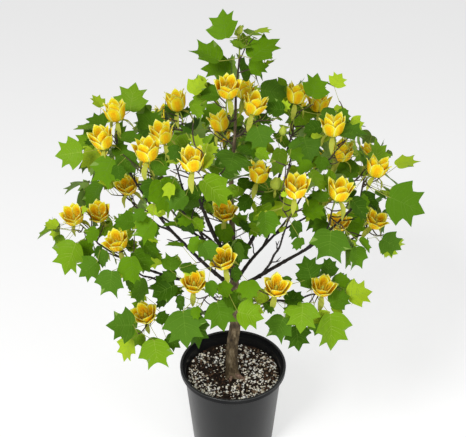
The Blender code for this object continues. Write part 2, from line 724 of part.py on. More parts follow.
def beyond_root(path):
    """The path without its first stretch, which is inside the twig it forks from or next to its bough."""
    run = path[1] - path[0]
    if run.length > TWIG_ROOT_RUN * 1.2:
        return [path[0] + run.normalized() * TWIG_ROOT_RUN] + path[1:]
    return [path[1] + (path[2] - path[1]).normalized() * TWIG_ROOT_RUN * 0.5] + path[2:]


class Growth:
    """One spray while it grows: its twigs, flowers and leaves, and the seeds of the space it keeps to."""

    def __init__(self, spray, limbs):
        self.spray = spray
        self.name = spray.name
        self.draw = random.Random(spray.name)
        self.twigs, self.blooms, self.leaves, self.joints = [], [], [], []
        limb = limbs[spray.limb]
        point, along, radius = limb_point(limb, spray.share)
        if spray.share == 1.0:
            self.start = point + along * GAP
            self.leave = along
        else:
            first = Vector(spray.blooms[0][:3])
            out = outward_from_trunk(first - point)
            self.start = point + out * (radius + GAP)
            self.leave = out
        self.seeds = [self.start.copy()]
        self.seeds += [Vector(entry[:3]) for entry in spray.blooms + spray.far_leaves]
        self.seeds += [self.start.lerp(seed, 0.55) for seed in self.seeds[1:]]

    def nearest_seed(self, point):
        return min((point - seed).length_squared for seed in self.seeds)

    def curve(self, root, leave, arrive, end, pieces):
        """A path from root to end with a random bend."""
        reach = (end - root).length
        bend = Vector([self.draw.gauss(0, TWIG_BEND) for _ in range(3)]) * min(1.0, reach / 0.1)
        handle = reach * TWIG_HANDLE
        near, far = root + leave * handle + bend, end - arrive * handle + bend
        return [bezier(root, near, far, end, i / pieces) for i in range(pieces + 1)]

    def has_room_at(self, joint):
        return all((joint - other).length > JOINT_SPACING for other in self.joints)

    def fork(self, target):
        """The point of the stem's inner part that a shoot towards the target leaves from."""
        path = self.twigs[0][0]
        places = [path[i].lerp(path[i + 1], t) for i in (1, 2) for t in (0.15, 0.4, 0.65, 0.9)]
        places = [place for place in places if self.has_room_at(place)]
        return min(places, key=lambda place: (place - target).length + 0.5 * (place - self.start).length)

    def add_twig(self, path, space, ends=(), trimmed_ends=()):
        """Keeps the twig if it and what it ends in are free of all that is there. The first is the stem."""
        if self.twigs:
            twig = (path, [TWIG_RADIUS] * len(path), TWIG_SIDES)
        else:
            steps = len(path) - 1
            taper = (STEM_TIP_RADIUS - STEM_ROOT_RADIUS) / steps
            twig = (path, [STEM_ROOT_RADIUS + taper * i for i in range(steps + 1)], STEM_SIDES)
        clear = beyond_root(path)
        trimmed = tube(clear, twig[1][-len(clear):], twig[2])
        whole = tube(*twig) if self.twigs else trimmed
        if not space.free(self, [whole, *ends], [trimmed, *(trimmed_ends or ends)]):
            return False
        self.twigs.append(twig)
        self.joints.append(path[0])
        return True

    def grow_shoot(self, number, entry, space):
        """A twig that ends in a flower or bud, left out where it has no room.

        The first is the spray's stem, and the others fork from it.
        """
        centre, size = Vector(entry[:3]), entry[3] if len(entry) > 3 else 1.0
        is_bud = size < 1.0
        out = outward_from_trunk(centre)
        for _ in range(TWIG_TRIES):
            lean = Vector((self.draw.gauss(0, 0.10), self.draw.gauss(0, 0.10), 0.0))
            axis = (UP + out * 0.30 + lean).normalized()
            bloom = Bloom(centre - axis * BLOOM_HEIGHT * size * (0.4 if is_bud else 0.5), axis, size)
            end = bloom.base + axis * 0.003
            if number == 0:
                collar = self.start + self.leave * STEM_COLLAR
                path = [self.start] + self.curve(collar, self.leave, axis, end, STEM_PIECES)
            else:
                root = self.fork(bloom.base)
                path = self.curve(root, (bloom.base - root).normalized(), axis, end, TWIG_PIECES)
            if self.add_twig(path, space, [bloom_solid(bloom, is_bud)]):
                self.blooms.append((bloom, is_bud))
                return

    def grow_far_leaf(self, entry, space):
        """A twig that ends in a leaf of the crown's outline, left out where it has no room."""
        centre, length = Vector(entry[:3]), entry[3]
        for _ in range(TWIG_TRIES):
            fork = self.fork(centre)
            leaf = pose_far_leaf(fork, centre, length, self.draw)
            towards = (leaf.base - leaf.root).normalized()
            path = self.curve(fork, (leaf.root - fork).normalized(), towards, leaf.root, TWIG_PIECES)
            leaf = leaf._replace(root=path[-1] - (path[-1] - path[-2]).normalized() * 0.003)
            if crosses_itself(leaf_solid(leaf)):
                continue
            if self.add_twig(path, space, [leaf_solid(leaf)], [leaf_solid(leaf, PETIOLE_SUNK)]):
                self.leaves.append(leaf)
                return

    def grow_side_twig(self, number, space):
        """A leafy twig without a flower, that spreads sideways and outwards."""
        stem = self.twigs[0][0]
        for trial in range(TWIG_TRIES):
            root = stem[1].lerp(stem[2], self.draw.uniform(0.15, 0.9))
            out = outward_from_trunk(root)
            turn = SIDE_TWIG_SPREAD * (1 if number % 2 else -1) * self.draw.uniform(0.4, 1.5)
            run = (Matrix.Rotation(turn, 3, "Z") @ out + UP * self.draw.uniform(0.0, 0.6)).normalized()
            length = SIDE_TWIG_LENGTH * self.draw.uniform(0.8, 1.2) * (1 - 0.02 * trial)
            end = root + (run + UP * 0.2).normalized() * length
            path = [root, root + run * length * 0.5, end]
            if self.has_room_at(root) and space.owner(end) is self and self.add_twig(path, space):
                return

    def twig_solids(self):
        return [tube(*twig) for twig in self.twigs]

    def bloom_solids(self):
        return [bloom_solid(bloom, is_bud) for bloom, is_bud in self.blooms]

    def leaf_sites(self):
        """(root, twig direction, azimuth) of each leaf, the tips of the twigs first."""
        sites = []
        for order, (path, _, _) in enumerate(self.twigs):
            limb = Limb(path, [0.0] * len(path), 3, None)
            length = sum((b - a).length for a, b in zip(path, path[1:]))
            turn = self.draw.uniform(0, 2 * math.pi)
            for i in range(LEAVES_PER_TWIG):
                distance = length - LEAF_BARE_TIP - LEAF_SPACING * i
                if distance < LEAF_BARE_ROOT:
                    break
                point, direction, _ = limb_point(limb, distance / length)
                sites.append((i, order, point, direction, turn + GOLDEN_ANGLE * i))
        sites.sort(key=lambda site: site[:2])
        return [site[2:] for site in sites]


def grow_sprays(limbs):
    """Flowers and the leaves of the outline come first, then side twigs, then the leaves between."""
    space = Space(limbs)
    growths = [Growth(spray, limbs) for spray in SPRAYS]
    space.growths = growths
    for growth in growths:
        for number, entry in enumerate(growth.spray.blooms):
            growth.grow_shoot(number, entry, space)
        for entry in growth.spray.far_leaves:
            growth.grow_far_leaf(entry, space)
        space.add(growth, growth.twig_solids() + growth.bloom_solids())
        space.add(growth, [leaf_solid(leaf, PETIOLE_SUNK) for leaf in growth.leaves])
    for growth in growths:
        before = len(growth.twigs)
        for number in range(LEAST_TWIGS - before):
            growth.grow_side_twig(number, space)
        space.add(growth, growth.twig_solids()[before:])
    for growth in growths:
        for root, direction, azimuth in growth.leaf_sites():
            if len(growth.leaves) >= LEAVES_PER_SPRAY:
                break
            if not growth.has_room_at(root):
                continue
            for trial in range(LEAF_TRIES):
                turn = azimuth + growth.draw.gauss(0, 0.08 * trial)
                leaf = pose_leaf(root, direction, turn, growth.draw, trial)
                if space.fits(leaf, growth):
                    growth.leaves.append(leaf)
                    growth.joints.append(root)
                    space.add(growth, [leaf_solid(leaf, PETIOLE_SUNK)])
                    break
    return growths


def build_spray(growth, green):
    """Fuses a spray's twigs, flowers and leaves into one solid with one Boolean union."""
    parts = bpy.data.collections.new("parts_of_" + growth.name)
    bpy.context.scene.collection.children.link(parts)
    stem, *others = growth.twig_solids()
    obj = new_object(growth.name, stem)
    others += growth.bloom_solids()
    others += [leaf_solid(leaf) for leaf in growth.leaves]
    for number, solid in enumerate(others):
        new_object(f"piece_{number}", solid, parts)
    union = obj.modifiers.new("fuse", "BOOLEAN")
    union.operation = "UNION"
    union.solver = "MANIFOLD"
    union.operand_type = "COLLECTION"
    union.collection = parts
    apply_modifiers(obj)
    remove_objects(parts.objects)
    bpy.data.collections.remove(parts)
    keep_largest_body(obj.data)
    finish(obj, green)


# ---------------------------------------------------------------- pot and mix
def wall_radius(height):
    """Outside radius of the pot's wall."""
    return FOOT_RADIUS + (SHOULDER_RADIUS - FOOT_RADIUS) * height / (POT_HEIGHT - LIP_SKIRT)


def turned(profile, segments):
    """A profile of (radius, height) turned about Z. The profile starts and ends on the axis."""
    points = [Vector((0.0, 0.0, profile[0][1])), Vector((0.0, 0.0, profile[-1][1]))]
    rims = profile[1:-1]
    for radius, height in rims:
        for k in range(segments):
            angle = 2 * math.pi * k / segments
            points.append(Vector((radius * math.cos(angle), radius * math.sin(angle), height)))
    faces = []
    for k in range(segments):
        after = (k + 1) % segments
        faces.append((0, 2 + after, 2 + k))
        for rim in range(len(rims) - 1):
            low = 2 + rim * segments
            faces.append((low + k, low + after, low + segments + after, low + segments + k))
        last = 2 + (len(rims) - 1) * segments
        faces.append((1, last + k, last + after))
    return points, faces


def pot_profile():
    lip_low = POT_HEIGHT - LIP_SKIRT
    ledge = POT_HEIGHT - LEDGE_DEPTH
    inner_lip = LIP_RADIUS - LIP_WIDTH
    return (
        (0.0, 0.0),
        (FOOT_RADIUS - FOOT_ROUND, 0.0),
        (wall_radius(FOOT_ROUND), FOOT_ROUND),
        (SHOULDER_RADIUS, lip_low),
        (LIP_RADIUS - LIP_ROUND / 2, lip_low),
        (LIP_RADIUS, lip_low + LIP_ROUND),
        (LIP_RADIUS, POT_HEIGHT - LIP_ROUND),
        (LIP_RADIUS - LIP_ROUND, POT_HEIGHT),
        (inner_lip + LIP_ROUND / 2, POT_HEIGHT),
        (inner_lip, POT_HEIGHT - LIP_ROUND),
        (inner_lip, ledge + LIP_ROUND),
        (wall_radius(ledge) - WALL - 0.0005, ledge),
        (wall_radius(POT_FLOOR) - WALL, POT_FLOOR),
        (0.0, POT_FLOOR),
    )


def build_pot(black):
    pot = new_object("pot", turned(pot_profile(), POT_SEGMENTS))
    finish(pot, black, 35)


def build_mix(brown):
    """The potting mix fills the pot to a few centimetres under the lip."""
    low = POT_FLOOR + GAP
    side = WALL + GAP
    edge = MIX_TOP - MIX_EDGE_DROP
    fit = math.cos(math.pi / POT_SEGMENTS)  # its facets stay inside those of the pot's wall
    profile = (
        (0.0, low),
        ((wall_radius(low) - side - MIX_ROUND) * fit, low),
        ((wall_radius(low + MIX_ROUND) - side - GAP) * fit, low + MIX_ROUND),
        ((wall_radius(edge) - side - 0.0008) * fit, edge),
        (TRUNK_BED, MIX_TOP),
        (0.0, MIX_TOP),
    )
    mix = new_object("potting_mix", turned(profile, POT_SEGMENTS))
    finish(mix, brown, 35)


def main():
    clear_scene()
    bark_low = plain_material("bark_grey_brown", BARK_LOW, 0.85)
    bark_high = plain_material("bark_dark", BARK_HIGH, 0.7)
    green = plain_material("leaf_green", LEAF_GREEN, 0.5)
    black = plain_material("pot_black", POT_BLACK, 0.45)
    brown = plain_material("mix_brown", MIX_BROWN, 0.95)
    build_pot(black)
    build_mix(brown)
    limbs = grow_limbs()
    build_limbs(limbs, bark_low, bark_high)
    for growth in grow_sprays(limbs):
        build_spray(growth, green)


main()
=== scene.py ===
"""The looks of a tulip tree (Liriodendron) in flower, in a round nursery pot.

Metres, +Z up. The origin is the centre of the pot's flat underside, and -Y is the front.
Twigs and flowers grow on from the limbs by the same rule as the solids' do. The leaves that the
photograph shows are placed from a table, SEEN_LEAVES, and the leaves behind them grow by rule.
"""

import json
import math
import random
from collections import namedtuple

import bpy
from mathutils import Matrix, Vector, noise
from mathutils.bvhtree import BVHTree

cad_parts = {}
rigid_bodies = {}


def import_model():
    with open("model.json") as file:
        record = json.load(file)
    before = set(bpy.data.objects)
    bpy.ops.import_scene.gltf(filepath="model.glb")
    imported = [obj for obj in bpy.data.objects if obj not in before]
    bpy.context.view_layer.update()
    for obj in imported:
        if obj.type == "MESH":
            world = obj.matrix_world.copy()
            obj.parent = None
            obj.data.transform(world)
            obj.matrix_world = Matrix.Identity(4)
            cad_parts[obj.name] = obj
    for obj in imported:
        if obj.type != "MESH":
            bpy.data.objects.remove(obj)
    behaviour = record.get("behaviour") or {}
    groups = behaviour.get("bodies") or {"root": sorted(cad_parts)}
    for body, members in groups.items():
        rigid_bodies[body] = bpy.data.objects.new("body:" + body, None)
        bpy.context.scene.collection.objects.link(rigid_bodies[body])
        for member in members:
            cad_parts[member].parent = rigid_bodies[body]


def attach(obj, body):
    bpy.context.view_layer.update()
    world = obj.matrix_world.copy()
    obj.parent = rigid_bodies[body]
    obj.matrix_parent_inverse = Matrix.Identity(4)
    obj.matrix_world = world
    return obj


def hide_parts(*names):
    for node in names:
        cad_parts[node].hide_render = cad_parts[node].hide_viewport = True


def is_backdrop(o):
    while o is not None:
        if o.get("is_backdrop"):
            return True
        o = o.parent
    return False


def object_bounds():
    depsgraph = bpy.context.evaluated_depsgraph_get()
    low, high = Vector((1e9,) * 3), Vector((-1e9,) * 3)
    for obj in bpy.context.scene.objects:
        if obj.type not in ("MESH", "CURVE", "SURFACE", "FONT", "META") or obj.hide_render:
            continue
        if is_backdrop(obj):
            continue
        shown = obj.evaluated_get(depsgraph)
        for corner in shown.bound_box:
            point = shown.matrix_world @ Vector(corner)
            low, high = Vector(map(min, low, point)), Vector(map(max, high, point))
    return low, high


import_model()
cad_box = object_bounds()

UP = Vector((0.0, 0.0, 1.0))
FRONT = Vector((0.0, -1.0, 0.0))
GAP = 0.0003
GOLDEN_ANGLE = math.radians(137.5)

# ---------------------------------------------------------------- camera, light and floor
PHOTO_WIDTH = 466  # pixels
FOCAL_PIXELS = 800
CAMERA_PLACE = (0.0, -1.59, 1.63)
CAMERA_PITCH = math.radians(30.8)  # below level
PICTURE_CENTRE = (233.0, 218.5)
WORLD_LIGHT = 0.475
# Each lamp: its name, place, target, size and power.
LAMPS = (
    ("key", (-1.6, -2.2, 3.2), (0.0, 0.0, 0.6), 1.2, 80.0),
    ("fill", (2.2, -1.4, 2.4), (0.0, 0.0, 0.6), 1.8, 18.0),
    ("low", (0.15, -1.45, 0.90), (0.0, 0.0, 0.7), 0.6, 7.0),
)
FLOOR_REACH = 30.0
FLOOR_WHITE = 0.62
FLOOR_GLOW = 0.462

# ---------------------------------------------------------------- pot and potting mix
POT_HEIGHT = 0.245
FOOT_RADIUS = 0.1073
SHOULDER_RADIUS = 0.1262  # outside of the wall, just under the lip
LIP_RADIUS = 0.1375
LIP_SKIRT = 0.0150  # height of the lip's outer face
LIP_WIDTH = 0.0065
WALL = 0.0024
POT_FLOOR = 0.0045
POT_ROUND = 0.0024  # rounding of the pot's corners
POT_SIDES = 160
LEDGE_DEPTH = 0.0115  # the inner ledge below the top of the lip
MIX_TOP = 0.205
MIX_LOW = 0.16  # the bed is modelled down to this height
MIX_DISH = 0.045  # the mix rises from this radius outwards
MIX_RINGS = 46
MIX_SIDES = 150
GRAIN_BARE = 0.0215  # no grain lies nearer to the trunk's line

# ---------------------------------------------------------------- limbs
TRUNK_FOOT_Z = MIX_TOP + GAP
# The trunk's centreline and radius: x, y, height, radius.
TRUNK_KNOTS = (
    (-0.004, 0.000, TRUNK_FOOT_Z, 0.0150),
    (-0.002, 0.000, 0.300, 0.0137),
    (0.006, -0.001, 0.385, 0.0125),
    (0.004, 0.000, 0.485, 0.0102),
    (0.000, 0.003, 0.560, 0.0070),
    (-0.003, 0.002, 0.660, 0.0055),
    (-0.004, 0.000, 0.790, 0.0042),
    (0.004, 0.000, 0.890, 0.0032),
    (0.006, 0.000, 1.000, 0.0022),
)
FLARE_HEIGHT = 0.022  # the root flare dies away over this height
FLARE_SPREAD = 0.0045
FLARE_LOBES = 0.3
SURFACE_ROOT_ANGLE = math.radians(-25.0)  # one root stands out at the front right
SURFACE_ROOT_SPREAD = 0.017

Bough = namedtuple("Bough", "name parent share tip root_radius tip_radius rise")
# share is where on the parent the bough leaves it, from 0 at its foot to 1 at its tip.
# rise is how steeply the bough leaves, in degrees above level.
BOUGHS = (
    Bough("bough_left_high", "trunk", 0.375, (-0.076, -0.175, 0.865), 0.0050, 0.0021, 60),
    Bough("bough_left_long", "trunk", 0.350, (-0.232, -0.070, 0.862), 0.0050, 0.0021, 35),
    Bough("bough_left_low", "trunk", 0.320, (-0.300, -0.070, 0.655), 0.0044, 0.0020, 22),
    Bough("bough_left_bottom", "trunk", 0.292, (-0.158, -0.155, 0.500), 0.0038, 0.0020, 12),
    Bough("bough_front", "trunk", 0.335, (-0.045, -0.190, 0.600), 0.0038, 0.0020, 15),
    Bough("bough_front_right", "trunk", 0.288, (0.074, -0.182, 0.572), 0.0040, 0.0020, 12),
    Bough("bough_right_bottom", "trunk", 0.314, (0.166, -0.120, 0.548), 0.0040, 0.0020, 5),
    Bough("bough_right_long", "trunk", 0.344, (0.272, -0.085, 0.775), 0.0052, 0.0021, 30),
    Bough("bough_right_high", "trunk", 0.425, (0.128, 0.030, 0.870), 0.0052, 0.0021, 45),
    Bough("bough_back_left", "trunk", 0.395, (-0.185, 0.225, 0.615), 0.0046, 0.0020, 20),
    Bough("bough_back_right", "trunk", 0.365, (0.185, 0.235, 0.620), 0.0046, 0.0020, 20),
    Bough("bough_back", "trunk", 0.450, (0.000, 0.270, 0.670), 0.0042, 0.0020, 15),
    Bough("bough_left_top", "bough_left_high", 0.45, (-0.112, 0.000, 0.880), 0.0028, 0.0018, 55),
    Bough("bough_left_face", "bough_left_high", 0.30, (-0.142, -0.150, 0.862), 0.0030, 0.0018, 50),
    Bough("bough_left_inner", "bough_left_long", 0.50, (-0.222, 0.030, 0.690), 0.0026, 0.0018, 10),
    Bough("bough_left_front", "bough_left_low", 0.40, (-0.214, -0.168, 0.655), 0.0028, 0.0018, 25),
    Bough("bough_right_inner", "bough_right_long", 0.22, (0.112, -0.185, 0.785), 0.0030, 0.0018, 60),
    Bough("bough_right_front", "bough_right_long", 0.55, (0.200, -0.165, 0.765), 0.0028, 0.0018, 50),
    Bough("bough_right_outer", "bough_right_long", 0.62, (0.292, 0.005, 0.630), 0.0026, 0.0018, 0),
    Bough("bough_right_top", "bough_right_high", 0.62, (0.190, -0.055, 0.850), 0.0028, 0.0018, 35),
    Bough("bough_back_left_high", "bough_back_left", 0.40, (-0.150, 0.175, 0.775), 0.0030, 0.0018, 60),
    Bough("bough_back_left_side", "bough_back_left", 0.55, (-0.285, 0.130, 0.690), 0.0028, 0.0018, 25),
    Bough("bough_back_right_high", "bough_back_right", 0.40, (0.150, 0.185, 0.785), 0.0030, 0.0018, 60),
    Bough("bough_back_right_side", "bough_back_right", 0.55, (0.292, 0.140, 0.700), 0.0028, 0.0018, 25),
)

# ---------------------------------------------------------------- sprays of foliage
Spray = namedtuple("Spray", "name limb share blooms far_leaves")
# limb and share say what carries the spray: the tip of a bough (share 1), or a place on the trunk.
# blooms are the centres of its flowers; a fourth value under 1 makes that one a bud of that size.
# far_leaves are leaves of the crown's outline: blade centre and blade length. At the back they are grown.
# On the side that the photograph shows they only mark the spray's space, and SEEN_LEAVES has the leaves.
TRUNK_SPRAYS = (
    Spray(
        "foliage_top", "trunk", 1.0, ((0.014, 0.000, 1.128, 0.5),),
        ((-0.024, 0.000, 1.136, 0.060), (0.062, 0.000, 1.092, 0.062),
         (-0.057, -0.020, 1.084, 0.056)),
    ),
    Spray(
        "foliage_top_front", "trunk", 0.915, ((-0.010, -0.080, 1.035),),
        ((-0.040, -0.050, 1.068, 0.055), (0.046, -0.050, 1.066, 0.050)),
    ),
    Spray(
        "foliage_top_right", "trunk", 0.865, ((0.045, -0.060, 0.993), (0.105, -0.045, 0.925, 0.6)),
        ((0.085, -0.030, 0.999, 0.058),),
    ),
    Spray(
        "foliage_top_back", "trunk", 0.835, ((-0.030, 0.050, 0.905), (0.025, 0.130, 0.950)),
        ((-0.062, 0.060, 0.960, 0.055),),
    ),
    Spray(
        "foliage_centre_high", "trunk", 0.680, ((0.055, -0.100, 0.855), (0.088, -0.140, 0.850, 0.8)), (),
    ),
    Spray("foliage_centre", "trunk", 0.510, ((-0.018, -0.060, 0.740),), ()),
    Spray("foliage_inner_back", "trunk", 0.560, ((-0.085, 0.095, 0.665),), ()),
)
# The sprays at the tips of the boughs: the bough's name, then blooms and far_leaves.
BOUGH_SPRAYS = (
    (
        "left_high", ((-0.075, -0.270, 0.970),),
        ((0.005, -0.250, 0.950, 0.060),),
    ),
    (
        "left_long", ((-0.245, -0.050, 0.972), (-0.264, -0.125, 0.945)),
        ((-0.201, -0.020, 0.992, 0.060), (-0.282, -0.050, 1.000, 0.034), (-0.346, -0.080, 0.885, 0.062)),
    ),
    (
        "left_low", ((-0.350, -0.080, 0.740), (-0.305, -0.020, 0.712)),
        ((-0.405, -0.080, 0.705, 0.050), (-0.359, -0.100, 0.647, 0.066)),
    ),
    (
        "left_bottom", ((-0.192, -0.200, 0.562),),
        ((-0.242, -0.200, 0.466, 0.044), (-0.166, -0.220, 0.463, 0.070), (-0.250, -0.180, 0.515, 0.056),
         (-0.150, -0.130, 0.582, 0.064)),
    ),
    (
        "front", ((-0.020, -0.270, 0.752), (-0.080, -0.245, 0.678)),
        ((-0.024, -0.215, 0.562, 0.064), (-0.105, -0.225, 0.565, 0.060)),
    ),
    (
        "front_right", ((0.090, -0.245, 0.668),),
        ((0.098, -0.240, 0.560, 0.062), (0.036, -0.225, 0.580, 0.060)),
    ),
    (
        "right_bottom", ((0.195, -0.180, 0.620),),
        ((0.212, -0.200, 0.515, 0.068), (0.279, -0.150, 0.584, 0.054), (0.138, -0.215, 0.515, 0.058),
         (0.168, -0.040, 0.585, 0.068)),
    ),
    (
        "right_long", ((0.302, -0.100, 0.868),),
        ((0.374, -0.100, 0.776, 0.080), (0.347, -0.080, 0.873, 0.040)),
    ),
    (
        "right_high", ((0.140, 0.050, 0.970), (0.196, 0.110, 0.925)),
        ((0.231, 0.080, 0.992, 0.044), (0.112, -0.005, 0.862, 0.066)),
    ),
    (
        "left_top", ((-0.122, 0.010, 0.970),),
        ((-0.075, 0.020, 1.000, 0.052),),
    ),
    (
        "left_face", ((-0.166, -0.200, 0.955), (-0.146, -0.090, 0.940)), (),
    ),
    (
        "left_inner", ((-0.242, 0.020, 0.760),),
        ((-0.221, -0.020, 0.668, 0.066), (-0.185, 0.000, 0.632, 0.058)),
    ),
    ("left_front", ((-0.240, -0.200, 0.750),), ()),
    ("right_inner", ((0.121, -0.250, 0.902),), ()),
    ("right_front", ((0.212, -0.200, 0.868),), ()),
    (
        "right_outer", ((0.330, -0.015, 0.690), (0.252, 0.040, 0.650)),
        ((0.356, -0.050, 0.668, 0.048),),
    ),
    (
        "right_top", ((0.205, -0.085, 0.955), (0.236, -0.030, 0.870)), (),
    ),
    (
        "back_left", ((-0.220, 0.275, 0.700),),
        ((-0.200, 0.320, 0.600, 0.064),),
    ),
    (
        "back_right", ((0.220, 0.285, 0.705),),
        ((0.200, 0.325, 0.600, 0.064),),
    ),
    (
        "back", ((-0.030, 0.335, 0.745), (0.050, 0.290, 0.835)),
        ((0.000, 0.385, 0.640, 0.066),),
    ),
    ("back_left_high", ((-0.165, 0.220, 0.850),), ()),
    (
        "back_left_side", ((-0.330, 0.155, 0.765),),
        ((-0.385, 0.150, 0.690, 0.062),),
    ),
    ("back_right_high", ((0.160, 0.235, 0.855),), ()),
    (
        "back_right_side", ((0.335, 0.165, 0.775),),
        ((0.390, 0.165, 0.700, 0.062),),
    ),
)
SPRAYS = TRUNK_SPRAYS + tuple(
    Spray("foliage_" + name, "bough_" + name, 1.0, blooms, far_leaves)
    for name, blooms, far_leaves in BOUGH_SPRAYS
)
# The crown's reach: height, and how far from the trunk's line the leaves go there.
CROWN_PROFILE = (
    (0.40, 0.20),
    (0.45, 0.29),
    (0.55, 0.35),
    (0.65, 0.42),
    (0.78, 0.42),
    (0.88, 0.37),
    (0.96, 0.31),
    (1.01, 0.25),
    (1.04, 0.11),
    (1.12, 0.09),
    (1.17, 0.04),
)

